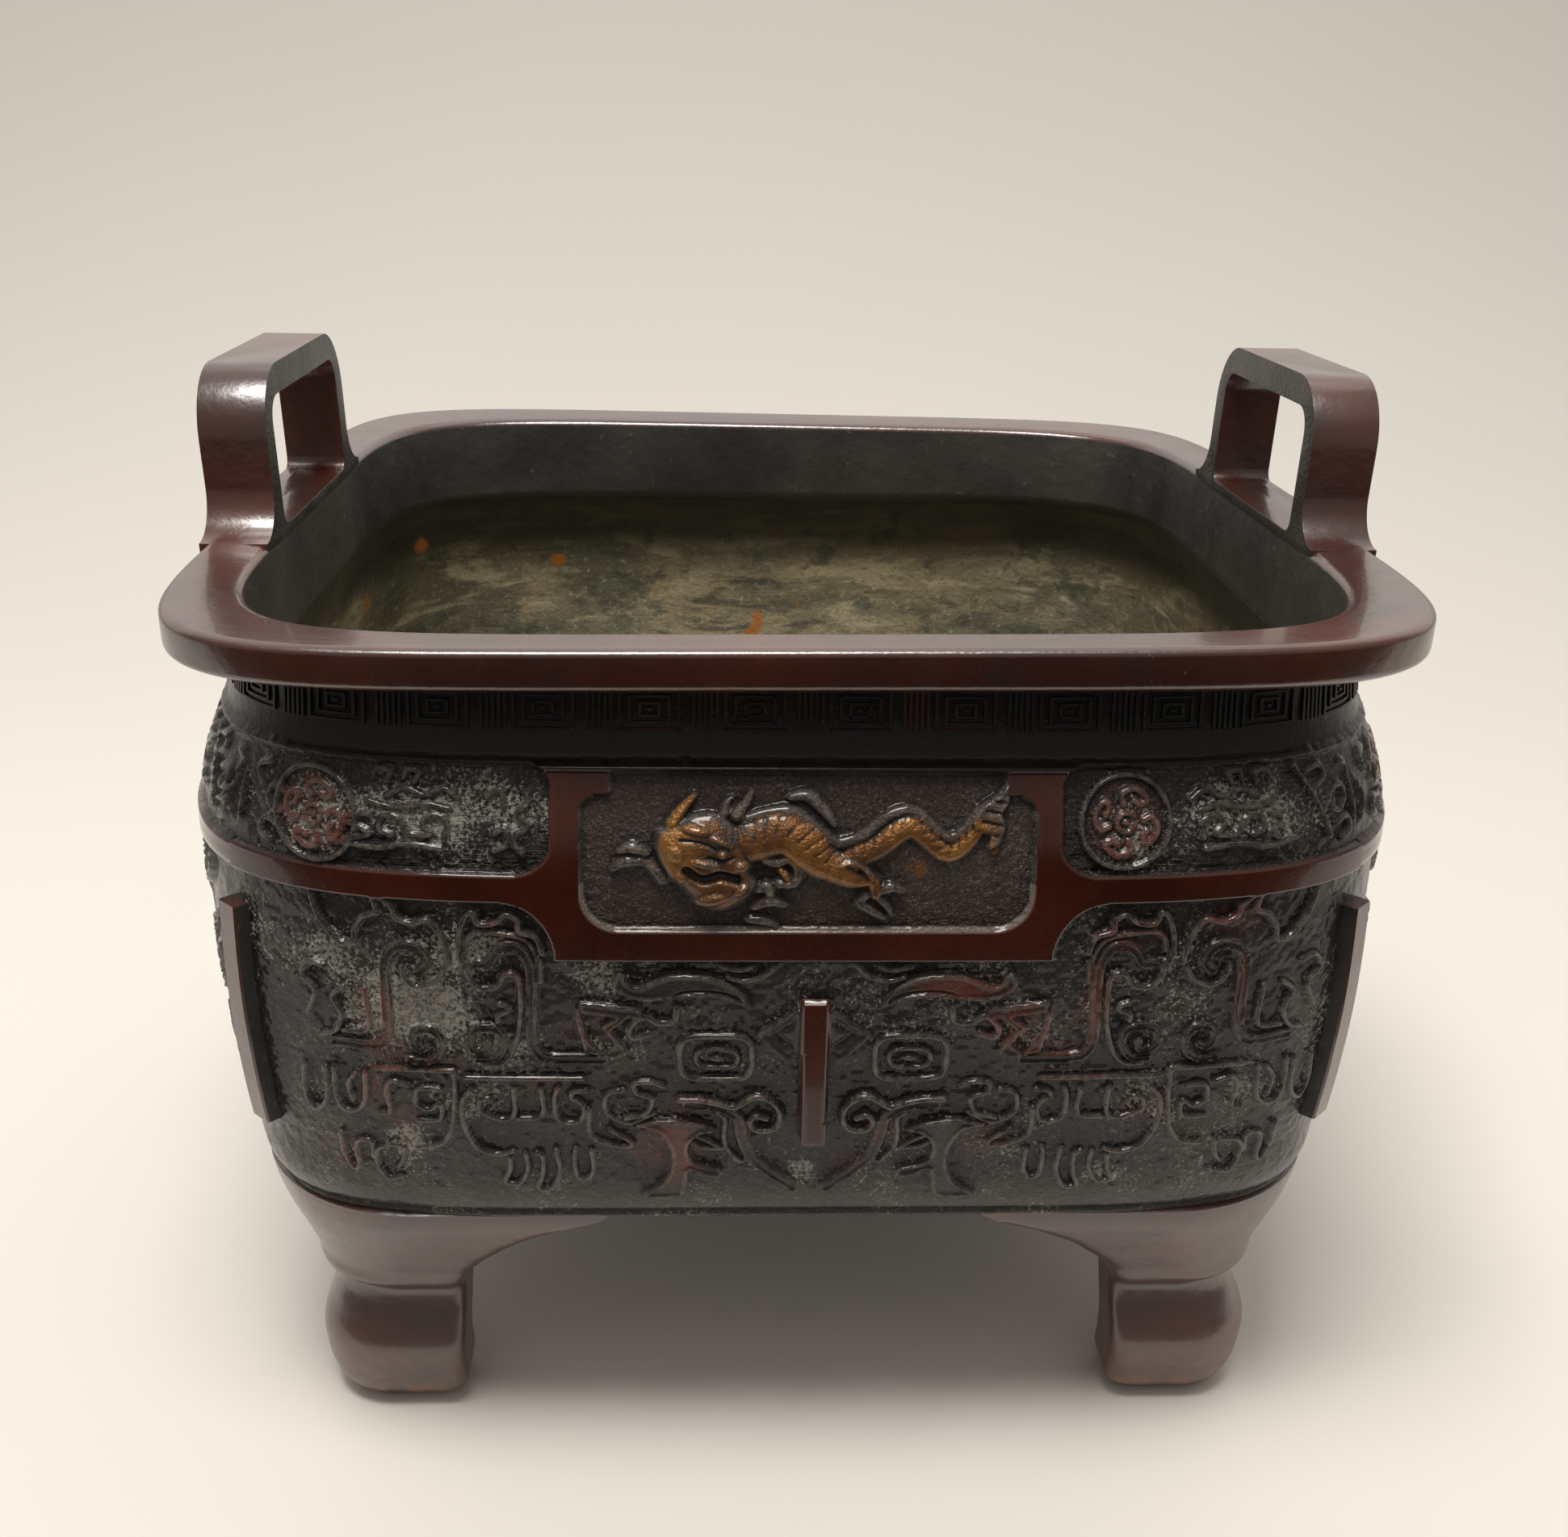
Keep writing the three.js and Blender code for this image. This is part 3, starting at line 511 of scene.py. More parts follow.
# %% Dragon's limbs, horns and tail
# Path, radii along it, how high, and whether it is gilded.
LIMBS = [
    ([(-27.3, 37.4), (-25.4, 34.8), (-23, 32.3)], [1.5, 1.2, 0.7], 2.2, 1),
    ([(-14.4, 36), (-12.6, 33.8), (-11.4, 31.6)], [1.5, 1.1, 0.6], 1.9, 0),
    ([(-17, 35.6), (-16.4, 33.6), (-15.2, 32.6)], [1.2, 0.9, 0.5], 1.6, 0),
    ([(-32.6, 43.4), (-35.6, 42.3), (-38, 43)], [0.9, 1.5, 0.9], 2.0, 0),
    ([(-33, 45.2), (-37, 45.2), (-39.4, 46.6)], [0.9, 1.4, 0.9], 1.9, 0),
    ([(-33.4, 44.8), (-31, 46.8), (-29.4, 49)], [0.9, 1.3, 1.4], 1.8, 0),
    ([(-3.4, 32.4), (0, 32.2), (3, 34.6), (5.4, 37.6)], [1.0, 1.5, 1.3, 0.8], 2.0, 0),
    ([(-8.6, 44.6), (-6.2, 45.4), (-3.6, 44.6), (-1.8, 46.8), (-2.6, 49.6), (-5.6, 49.8)],
     [1.1, 1.2, 1.2], 1.9, 0),
    ([(-5.4, 46.8), (-4, 48.4), (-3.6, 49.2)], [0.8, 1.0, 0.6], 2.2, 1),
    ([(-9.6, 51), (-8, 50.6), (-7.4, 52.6)], [1.2, 1.5, 1.0], 1.9, 0),
    ([(-10.6, 55.2), (-7.6, 53.8), (-4.6, 54.6)], [0.9, 1.4, 0.9], 1.9, 0),
    ([(-11.8, 58), (-8.6, 58.4), (-6.2, 59.4)], [1.0, 1.2, 0.8], 1.5, 0),
    ([(12.4, 52.4), (11, 54), (13, 55.6), (16, 57.6)], [1.0, 1.2, 1.1, 0.7], 1.8, 0),
    ([(14.6, 51.6), (17.4, 50.6), (19.6, 51.4)], [1.1, 1.4, 0.8], 1.9, 0),
    ([(15, 53.4), (16.6, 55), (17.6, 57)], [0.9, 0.9, 0.5], 1.4, 0),
]
TUFT = [(34.2, 39.4), (33.6, 36.6), (35.4, 33.8), (38.4, 32), (40.8, 29.8), (41.2, 33), (39.8, 35.6),
        (40.4, 38), (39, 41.4), (36.8, 42.2), (37.2, 39.6)]
HAIRS = 4


def dragon_limbs(sheet):
    for path, radii, high, gold in LIMBS:
        pick, far, _, _ = sheet.tube(path, radii, high)
        if gold:
            gild(sheet, pick, ease((0.9 - far) / 0.3))
    sheet.plate(TUFT, 1.8, 1.2, 0.3)
    for k in range(HAIRS):
        sheet.cut([(34.6 + k, 38.6 - 1.9 * k), (38.6 + 0.7 * k, 39.6 - 2.1 * k)], 0.8, 0.6, smooth=False)


def dragon(sheet):
    dragon_body(sheet)
    dragon_head(sheet)
    dragon_limbs(sheet)
    sheet.spot("gilt", 37.6, 38.4, 2.2, 4.6, 0.55, 0.8)
    sheet.spot("gilt", 22.6, 46.8, 2.5, 2.3, 0.8, 0.35)
    sheet.spot("gilt", 38.2, 42.2, 1.2, 2.2, 0.7, 0.4)


print(len(LIMBS), "limbs, claws and horns")

# %% [markdown]
# ## Shoulder panels
# Between the cartouches the shoulder carries round medallions and little twisting motifs on a
# ground of fine lines. The motifs are drawn like the mask. The ground is too fine for the mesh,
# so a mask marks the panel and the finish draws its lines.

# %% Medallion
MEDALLION = 9.3  # its radius
COMMA = ((3.6, -0.5), (5.6, -0.55), (6.8, -0.1), (6.2, 0.4), (4.7, 0.35), (4.6, 0.02))  # radius, turn


def circle(u, drop, radius, steps):
    return [(u + radius * math.cos(a), drop + radius * math.sin(a))
            for a in np.linspace(0, 2 * math.pi, steps + 1)]


def medallion(sheet, u, drop):
    """A ring with four commas turning about a boss."""
    sheet.dome(u, drop, MEDALLION, MEDALLION, 0.25)
    sheet.thread(circle(u, drop, MEDALLION, 32), 1.2, 1.0, smooth=False)
    for k in range(4):
        start = k * math.pi / 2 + 0.35
        comma = [(u + r * math.cos(start + b), drop + r * math.sin(start + b)) for r, b in COMMA]
        sheet.thread(comma, 1.5, 0.95)
    sheet.thread(circle(u, drop, 1.9, 12), 0.9, 0.9, smooth=False)
    sheet.dome(u, drop, 0.9, 0.9, 0.8)
    sheet.spot("red", u, drop, MEDALLION - 0.4, MEDALLION - 0.4, 1.0, 0.15)
    sheet.spot("pale", u, drop, MEDALLION, MEDALLION, 0.6, 0.4)


print("medallion", 2 * MEDALLION, "mm across")

# %% Shoulder panels
PANEL_TWISTS = [
    [(79, 33.4), (82, 31.6), (86, 33), (90, 31.8), (94, 33.6)],
    [(81, 35.4), (86, 34.6), (92, 35.6), (98, 34.6)],
    [(82, 41), (81.4, 37.8), (84.6, 36.6), (86.4, 38.6), (84.6, 40.4), (89, 40.6), (91.4, 37.6), (94.6, 37.4),
     (95.4, 40), (93, 41)],
    [(97, 36.8), (99.4, 38.4), (97.6, 41), (99.6, 42.6)],
    [(82.6, 43.4), (90, 42.6), (96, 43.8), (103, 42.8)],
    [(88, 30.6), (87.2, 28.8), (89.4, 28.2), (90.2, 29.8)],
    [(93.6, 30.6), (93.2, 28.9), (95.6, 28.4), (96.6, 30)],
    [(102.5, 28.5), (106.7, 33.5), (110.8, 39.3), (113.3, 44.3)],
    [(106, 30), (109.6, 29.4), (111, 32), (108.6, 33.4)],
    [(112.6, 35.4), (116, 34.2), (117.8, 37), (115.8, 39.4), (113.8, 38.2)],
    [(115, 42), (118.6, 41), (120, 44), (117.4, 45.6)],
    [(117, 30), (120.6, 31.4), (119.6, 34.4)],
]

SMALL_TWISTS = [
    [(-58, 31), (-56.4, 33.6), (-58.6, 36), (-56.6, 38.4), (-59.4, 41), (-57.6, 44)],
    [(-63.6, 40), (-61, 39), (-60.8, 42), (-63.4, 43.4)],
    [(-64.6, 33), (-62, 31.4), (-61.4, 34.6)],
]


def left_twist(path):
    """A twist turned over to the left panel, where the inner ones sit a little farther right."""
    return [(2 * MASK_U - u + 3.5 * (abs(u) < 99), v) for u, v in path]


def panels(sheet):
    sheet.lift = 1.35
    for path in PANEL_TWISTS:
        sheet.thread(path, 1.3, 0.85)
        under_medallion = 99 < path[0][0] < 112
        if not under_medallion:
            sheet.thread(left_twist(path), 1.3, 0.85)
    for path in SMALL_TWISTS:
        sheet.thread(path, 1.3, 0.85)
    for u, drop in ((130, 37.6), (-130, 37.6), (65.3, 37.5), (-101.3, 38.4)):
        medallion(sheet, u, drop)
    ground = (np.abs(sheet.u) > 52) & (sheet.drop > 27) & (sheet.drop < 48)
    sheet.paint["brick"] = ground * 1.0
    sheet.lift = 1.0


print(len(PANEL_TWISTS), "twists in each panel")

# %% [markdown]
# ## Wear
# Where the dark skin has worn through, the metal shows red, and elsewhere pale dust has caked.
# Both could be painted by hand. Two lists of soft ovals are enough, because the finish breaks
# their edges up with noise.

# %% Worn and caked places
# Place, half width, half height and strength.
RED_WEAR = [
    (-91, 80, 6, 8, 1), (-89, 92, 7, 9, 0.9), (-93, 102, 6, 9, 1), (-86, 110, 5, 6, 0.7),
    (-88, 88, 3, 12, 0.9), (-102, 120, 6, 8, 0.6), (-77, 94, 7, 4, 0.5), (-45, 84, 8, 6, 0.5),
    (-29, 118, 11, 12, 1), (-24, 106, 9, 5, 0.6), (-37, 97, 6, 4, 0.35), (33, 74, 14, 4, 0.9),
    (47, 84, 11, 8, 1), (54, 90, 10, 3, 0.9), (62, 78, 4, 14, 0.9), (69, 62, 10, 5, 0.8),
    (91, 60, 10, 6, 0.9), (94, 76, 4, 12, 0.6), (41, 116, 7, 8, 0.45), (58, 97, 14, 3, 0.4),
    (20, 112, 6, 6, 0.5), (-14, 112, 6, 8, 0.4), (10, 120, 8, 6, 0.35), (-55, 100, 9, 5, 0.4),
    (76, 106, 8, 6, 0.35), (-62, 61, 6, 4, 0.5), (-60, 75, 4, 8, 0.4),
]
CAKED = [
    (-82, 80, 22, 16, 1), (-72, 67, 14, 9, 1), (-100, 70, 12, 10, 0.7), (-64, 90, 14, 10, 0.8),
    (-86, 116, 9, 8, 0.9), (-45, 70, 12, 8, 0.7), (1, 124, 5, 6, 0.9), (68, 125, 6, 6, 0.9),
    (33, 110, 5, 4, 0.6), (-40, 92, 12, 8, 0.5), (80, 80, 14, 12, 0.4), (100, 100, 12, 18, 0.35),
    (-20, 84, 12, 8, 0.45), (-70, 104, 20, 8, 0.5), (-80, 38, 24, 9, 1), (-60, 36, 10, 9, 0.9),
    (88, 37, 24, 9, 0.75), (-118, 36, 16, 9, 0.6), (115, 38, 18, 9, 0.5),
]


def wear(sheet, side):
    """The front has every spot, the other sides a few of them."""
    rows = RED_WEAR if side == 0 else RED_WEAR[side::3]
    for u, drop, wide, tall, strength in rows:
        sheet.spot("red", u, drop, wide, tall, strength, 0.6)
    rows = CAKED if side == 0 else CAKED[side::2]
    for u, drop, wide, tall, strength in rows:
        sheet.spot("pale", u, drop, wide, tall, strength, 0.9)

print(len(RED_WEAR), "worn places and", len(CAKED), "caked ones")

# %% [markdown]
# ## Putting the wall together
# A grid of places is laid over one side, the strokes are drawn on it, and each place is pushed
# out from the smooth wall by its height. A displace modifier could do this with an image, but
# here the heights are already numbers. Every side uses the same corners, so the sides meet.

# %% Lumps and mouldings
def rough(u, v, size, seed):
    """Gentle lumps, the same every time: noise on a lattice, smoothly blended."""
    rng = np.random.default_rng(seed)
    table = rng.random((64, 64))
    x, y = u / size + 100, v / size + 100
    i, j = np.floor(x).astype(int), np.floor(y).astype(int)
    fx, fy = ease(x - i), ease(y - j)
    a, b = table[i % 64, j % 64], table[(i + 1) % 64, j % 64]
    c, d = table[i % 64, (j + 1) % 64], table[(i + 1) % 64, (j + 1) % 64]
    return (a * (1 - fx) + b * fx) * (1 - fy) + (c * (1 - fx) + d * fx) * fy - 0.5


def mouldings(z):
    """The bead and groove at the foot of the wall, and the lip above the shoulder."""
    bead = 1.1 * np.exp(-(((z - 66.6) / 0.9) ** 2))
    groove = -0.8 * np.exp(-(((z - 68.3) / 0.5) ** 2))
    lip = 1.1 * np.exp(-(((z - 178.6) / 0.8) ** 2)) * (z > 172)
    return bead + groove + lip

print("lip above the shoulder", round(float(mouldings(np.array([178.6]))[0]), 2), "mm proud")

# %% Heights of one side
FRONT, RIGHT, BACK, LEFT = range(4)
SIDE_STROKE = 1.5  # a usual height of the relief


def wall_sheet(side, z, columns):
    """Places on the plain wall and the way out from it, as if every side faced the front."""
    length, x_table, y_table, wide, deep, square = quarter(z, side)
    s = np.linspace(-1, 1, columns + 1)
    u = length[:, -1:] * s
    x = np.array([np.interp(np.abs(row), length[k], x_table[k]) for k, row in enumerate(u)])
    y = np.array([np.interp(np.abs(row), length[k], y_table[k]) for k, row in enumerate(u)])
    nx, ny = x ** (square - 1) / wide**square, y ** (square - 1) / deep**square
    size = np.hypot(nx, ny)
    return u, np.sign(u) * x, -y, np.sign(u) * nx / size, -ny / size


def wall_heights(side, u, z):
    """All strokes of one side, and how tall they are before the mouldings are added."""
    sheet = Sheet(u, RIM_Z - z)
    sheet.high += 0.30 * rough(u, z, 3.1, side) + 0.30 * rough(u, z, 1.3, side + 7)
    sheet.high[sheet.drop > 130.5] *= 0.4
    mask(sheet)
    panels(sheet)
    wear(sheet, side)
    straps(sheet)
    if side in (FRONT, BACK):
        dragon(sheet)
    tall = sheet.high / SIDE_STROKE
    sheet.high += mouldings(z)
    neck = z > 180
    sheet.high[neck] = mouldings(z)[neck] * 0.5
    end = np.abs(u).max(axis=1, keepdims=True)
    edge = np.clip((end - np.abs(u)) / 2, 0, 1)
    corner = mouldings(z) + STRAP_PROUD * band(sheet.drop, STRAP_TOP, STRAP_FOOT)
    sheet.high = sheet.high * edge + corner * (1 - edge)
    return sheet, tall


def softened(high, reach):
    """The same heights with everything finer than the reach smoothed away."""
    for axis in (0, 1):
        pad = [(reach, reach) if k == axis else (0, 0) for k in (0, 1)]
        run = np.cumsum(np.pad(high, pad, mode="edge"), axis=axis)
        lead = np.take(run, range(2 * reach, run.shape[axis]), axis=axis)
        lag = np.concatenate([np.zeros_like(np.take(run, [0], axis=axis)),
                              np.take(run, range(run.shape[axis] - 2 * reach - 1), axis=axis)], axis=axis)
        high = (lead - lag) / (2 * reach + 1)
    return high

print("sides", FRONT, RIGHT, BACK, LEFT)

# %% From places to a mesh
def mesh_from(name, verts, faces, attributes=None, uv=None):
    """A smooth mesh object from places in millimetres, with masks and a UV map if it has them."""
    mesh = bpy.data.meshes.new(name)
    faces = faces if isinstance(faces, list) else faces.tolist()
    mesh.from_pydata((np.asarray(verts) * MM).tolist(), [], faces)
    mesh.polygons.foreach_set("use_smooth", np.ones(len(mesh.polygons), bool))
    for key, values in (attributes or {}).items():
        layer = mesh.attributes.new(key, "FLOAT", "POINT")
        layer.data.foreach_set("value", np.asarray(values, np.float32).ravel())
    if uv is not None:
        loops = np.zeros(len(mesh.loops), np.int32)
        mesh.loops.foreach_get("vertex_index", loops)
        layer = mesh.uv_layers.new(name="wall")
        layer.data.foreach_set("uv", np.asarray(uv, np.float32)[loops].ravel())
    mesh.update()
    piece = bpy.data.objects.new(name, mesh)
    bpy.context.scene.collection.objects.link(piece)
    return piece


def grid_faces(rows, columns):
    k = (np.arange(rows)[:, None] * (columns + 1) + np.arange(columns)[None, :]).ravel()
    return np.stack([k, k + 1, k + columns + 2, k + columns + 1], axis=1)
def wall_piece(name, side, z0, z1, rows, columns):
    """One stretch of wall, with masks for its finish and its painted light: crisp ridges get wear and a
    painted highlight, hollow grooves get dust and painted shade.
    """
    z = np.linspace(z0, z1, rows + 1)
    u, x, y, nx, ny = wall_sheet(side, z, columns)
    level = np.repeat(z[:, None], columns + 1, axis=1)
    sheet, tall = wall_heights(side, u, level)
    x, y = x + nx * sheet.high, y + ny * sheet.high
    c, s = math.cos(side * math.pi / 2), math.sin(side * math.pi / 2)
    verts = np.stack([x * c - y * s, x * s + y * c, level], axis=2).reshape(-1, 3)
    relief = tall * SIDE_STROKE
    carved = (relief - softened(relief, 3)) / 0.35
    paint = {**sheet.paint, "tall": np.clip(tall, 0, 1), "crisp": ease(carved), "hollow": ease(-carved)}
    uv = np.stack([(u + 300 * side) / 100, level / 100], axis=2).reshape(-1, 2)
    piece = mesh_from(name, verts, grid_faces(rows, columns), paint, uv)
    print(name, len(piece.data.polygons) * 2, "triangles")
    return piece


print("grid of", len(grid_faces(2, 3)), "faces for 2 rows of 3")

# %% The walls
WALL_FOOT, WALL_TOP = 64.5, 196.0
FINE, COARSE = (150, 640), (156, 300)  # rows and columns
walls = [
    wall_piece("front_low", FRONT, WALL_FOOT, 107.0, *FINE),
    wall_piece("front_belly", FRONT, 107.0, 150.0, *FINE),
    wall_piece("front_shoulder", FRONT, 150.0, WALL_TOP, *FINE),
    wall_piece("right_wall", RIGHT, WALL_FOOT, WALL_TOP, *COARSE),
    wall_piece("back_wall", BACK, WALL_FOOT, WALL_TOP, *COARSE),
    wall_piece("left_wall", LEFT, WALL_FOOT, WALL_TOP, *COARSE),
]

# %% [markdown]
# ## Rim, neck and inside
# The rim is a flat frame whose top dips a little towards the mouth. Below the mouth the neck
# runs straight down to a step, and under the step the belly opens out again. A screw modifier
# would only turn round vessels, so one profile is carried round superellipses, like a hoop bent
# round a template.

# %% Rings
AROUND = 320


def ring(half_x, half_y, square, z):
    """One level: more places in the corners than along the sides."""
    angle = np.linspace(0, 2 * math.pi, AROUND, endpoint=False)
    c, s = np.cos(angle), np.sin(angle)
    reach = (np.abs(c) ** square + np.abs(s) ** square) ** (-1 / square)
    return np.stack([half_x * c * reach, half_y * s * reach, np.full(AROUND, z)], axis=1)


def warp(points):
    """The casting is a little twisted: two opposite corners of the rim stand higher."""
    x, y, z = points.T
    share = ease((z - 182) / 20)
    lift = -1.27 * (x / 140) * (y / 140) * share
    return np.stack([x, y, z + lift], axis=1)


def hoop_faces(levels):
    """Faces between rings that lie one after the other."""
    k = np.arange(AROUND)
    rows = [np.stack([r * AROUND + k, r * AROUND + (k + 1) % AROUND, (r + 1) * AROUND + (k + 1) % AROUND,
                      (r + 1) * AROUND + k], axis=1) for r in range(levels - 1)]
    return np.concatenate(rows)


def rounded(profile, radius, steps=4):
    """Softens each corner of a profile of [z, half x, half y, squareness] by its own radius."""
    out = [np.array(profile[0], float)]
    for before, here, after, r in zip(profile, profile[1:], profile[2:], radius[1:]):
        b, h, a = (np.array(p, float) for p in (before, here, after))
        to_b, to_a = b - h, a - h
        lb, la = np.hypot(*to_b[:2]), np.hypot(*to_a[:2])
        r = min(r, lb * 0.49, la * 0.49)
        p, q = h + to_b * r / lb, h + to_a * r / la
        for t in np.linspace(0, 1, steps + 1):
            out.append((1 - t) ** 2 * p + 2 * t * (1 - t) * h + t * t * q)
    out.append(np.array(profile[-1], float))
    return out


def both(z, half, square):
    """A level of a profile that keeps the wall's small difference between sides and front."""
    return [z, half, half + DEEPER, square]

print("rings of", AROUND, "places")

# %% Rim and neck
RIM_PROFILE = [
    both(194.6, 128.4, 5.6), both(195.2, 130.2, 5.8), both(195.6, 137.9, 6.2), both(197.0, 139.9, 6.2),
    both(204.2, 140.0, 6.2), both(205.0, 138.6, 6.2), [203.9, 127.2, 125.3, 5.9], [202.6, 125.9, 124.0, 5.8],
    [180.2, 124.9, 123.4, 5.4], [178.6, 126.2, 124.9, 5.4], [176.6, 128.2, 128.2, 5.3],
]
SOFT = [0, 0.5, 1.4, 1.0, 1.6, 2.2, 0.9, 0.8, 1.6, 1.0, 0]  # radius at each corner of the profile
rim_rings = rounded(RIM_PROFILE, SOFT)
rim_places = np.concatenate([ring(half_x, half_y, square, z) for z, half_x, half_y, square in rim_rings])
rim = mesh_from("rim", warp(rim_places), hoop_faces(len(rim_rings)))
print("rim", len(rim.data.polygons) * 2, "triangles")

# %% Inside of the belly and floor
STEP_Z, FLOOR_Z = 176.8, 69.5
FLOOR_X, FLOOR_Y = 112.0, 112.7
INSIDE = np.array([
    [FLOOR_Z, FLOOR_X, FLOOR_Y, 6.0], [71.5, 119.5, 120.2, 6.0], [82, 126.8, 127.5, 6.2],
    [110, 131.4, 132.1, 5.7], [152, 134.2, 134.9, 4.9], [166, 132.2, 132.9, 5.0],
    [173, 129.6, 130.4, 5.2], [STEP_Z, 128.2, 128.2, 5.3],
])
heights = np.linspace(STEP_Z, FLOOR_Z, 60)
inner_rings = [ring(a, b, n, z) for z, (a, b, n) in zip(heights, through(INSIDE, heights))]
for share in (0.9, 0.7, 0.45, 0.2):
    square, level = 6.0 - 3.6 * (1 - share), FLOOR_Z - 0.8 * (1 - share)
    inner_rings.append(ring(FLOOR_X * share, FLOOR_Y * share, square, level))
inner = np.concatenate(inner_rings)
lumps = rough(inner[:, 0] + inner[:, 1] * 0.4, inner[:, 2] + inner[:, 1] * 0.3, 7.0, 3)
inner[:, :2] *= (1 - 0.004 * lumps * np.clip((174 - inner[:, 2]) / 10, 0, 1))[:, None]
middle = list(range(len(inner) - AROUND, len(inner)))
inside_skin = mesh_from("inside", inner, [*hoop_faces(len(inner_rings)).tolist(), middle])
print("inside", len(inside_skin.data.polygons) * 2, "triangles")

# %% [markdown]
# ## Handles
# Each handle is a bar bent into an upright loop, standing on the rim, with hollow curves where
# its legs run out into the rim. It could be swept along a path, but its inner corners are tighter
# than its outer ones. So the loop is drawn flat as a filled curve with a hole, gets its thickness,
# and has its edges softened with a bevel.

# %% Outline of a handle
HANDLE_HALF, HANDLE_HIGH = 42.9, 38.8  # half the span, height above the rim
HANDLE_LEG, HANDLE_BAR, HANDLE_DEEP = 7.5, 7.4, 16.2
TURN, ROOT, HOLE_TURN, HOLE_ROOT = 16.5, 11, 6.5, 3.2  # radii: outer corner, root, and in the hole


def arc(cx, cy, r, a0, a1, steps=10):
    return [(cx + r * math.cos(math.radians(a)), cy + r * math.sin(math.radians(a)))
            for a in np.linspace(a0, a1, steps + 1)]

outer_loop = [(-HANDLE_HALF - ROOT, -2.5), *arc(-HANDLE_HALF - ROOT, ROOT, ROOT, -90, 0),
              *arc(-HANDLE_HALF + TURN, HANDLE_HIGH - TURN, TURN, 180, 90),
              *arc(HANDLE_HALF - TURN, HANDLE_HIGH - TURN, TURN, 90, 0),
              *arc(HANDLE_HALF + ROOT, ROOT, ROOT, 180, 270), (HANDLE_HALF + ROOT, -2.5)]
hole_half, hole_top = HANDLE_HALF - HANDLE_LEG, HANDLE_HIGH - HANDLE_BAR
inner_loop = [*arc(hole_half - HOLE_ROOT, 3.4, HOLE_ROOT, -90, 0),
              *arc(hole_half - HOLE_TURN, hole_top - HOLE_TURN, HOLE_TURN, 0, 90),
              *arc(-hole_half + HOLE_TURN, hole_top - HOLE_TURN, HOLE_TURN, 90, 180),
              *arc(-hole_half + HOLE_ROOT, 3.4, HOLE_ROOT, 180, 270)]
print("handle outline", len(outer_loop), "points, hole", len(inner_loop))

# %% Two handles
HANDLE_OUT, LEAN = 134.0, 0.035  # middle of the bar from the middle of the vessel; outward lean
DULL_BEYOND = 0.97  # a face that looks this squarely to the mouth is dull


def solid_loop():
    """The outline with its thickness, its seams joined and its edges softened, in millimetres."""
    curve = bpy.data.curves.new("loop", "CURVE")
    curve.dimensions = "2D"
    curve.fill_mode = "BOTH"
    curve.extrude = HANDLE_DEEP / 2
    for points in (outer_loop, inner_loop):
        spline = curve.splines.new("POLY")
        spline.points.add(len(points) - 1)
        for point, (a, b) in zip(spline.points, points):
            point.co = (a, b, 0, 1)
        spline.use_cyclic_u = True
    flat = bpy.data.objects.new("loop", curve)
    bpy.context.scene.collection.objects.link(flat)
    solid = bpy.data.objects.new("solid loop", bpy.data.meshes.new_from_object(flat))
    bpy.context.scene.collection.objects.link(solid)
    bpy.data.objects.remove(flat)
    join = solid.modifiers.new("join seams", "WELD")
    join.merge_threshold = 0.01
    bevel = solid.modifiers.new("soft edges", "BEVEL")
    bevel.width = 1.5
    bevel.segments = 4
    bevel.limit_method = "ANGLE"
    bevel.angle_limit = math.radians(50)
    depsgraph = bpy.context.evaluated_depsgraph_get()
    mesh = bpy.data.meshes.new_from_object(solid.evaluated_get(depsgraph))
    bpy.data.objects.remove(solid)
    return mesh


def handle(name, sign):
    """Stands a loop on the right (1) or left (-1) side of the rim."""
    mesh = solid_loop()
    mesh.name = "handle"
    local = np.array([v.co for v in mesh.vertices])
    out = HANDLE_OUT + local[:, 2] + local[:, 1] * LEAN
    places = np.stack([sign * out, local[:, 0], RIM_Z - 0.6 + local[:, 1]], axis=1)
    mesh.vertices.foreach_set("co", (warp(places) * MM).astype(np.float32).ravel())
    if sign < 0:
        mesh.flip_normals()
    mesh.polygons.foreach_set("use_smooth", np.ones(len(mesh.polygons), bool))
    mesh.set_sharp_from_angle(angle=math.radians(38))
    piece = bpy.data.objects.new(name, mesh)
    bpy.context.scene.collection.objects.link(piece)
    return piece


handles = [handle("right_handle", 1), handle("left_handle", -1)]
print("handle faces", len(handles[0].data.polygons))

# %% [markdown]
# ## Feet and corner bars
# A foot swells at its toe, draws in at the ankle and spreads into a skirt under the belly. It is
# not round: its outer corner is, its two inner ends are square, and its back is cut across. So
# each level is an outline of its own. The bar on the corner follows the bow of the wall. The
# four feet and the four bars are alike, so one of each is made first.

# %% One foot
# Height, inner faces, outer faces and corner radius.
FOOT = np.array([
    [0, 87.5, 105.5, 9], [0.4, 85, 108.8, 10.5], [1.8, 82.5, 111.6, 12.2], [4, 80.6, 113.6, 14],
    [6.5, 80, 115.0, 15.9], [12.6, 79.8, 116.8, 19.2], [19, 79.7, 117.0, 20], [25, 79.6, 114.6, 19.2],
    [30, 79.6, 112.3, 18.4], [33.6, 79.5, 112.0, 18], [35.2, 79.4, 113.6, 18.8], [36.6, 79, 115.3, 19.6],
    [42.4, 76, 117.9, 24.6], [49.7, 69.2, 121.4, 30.1], [57.1, 59.5, 125.2, 36], [62, 49, 127.6, 41],
    [64.5, 41.5, 128.2, 42], [66.0, 40, 128.3, 42], [66.9, 40, 127.6, 42], [67.3, 41, 124.5, 42],
])
FOOT_WEB = 16.0
FOOT_AROUND = 80
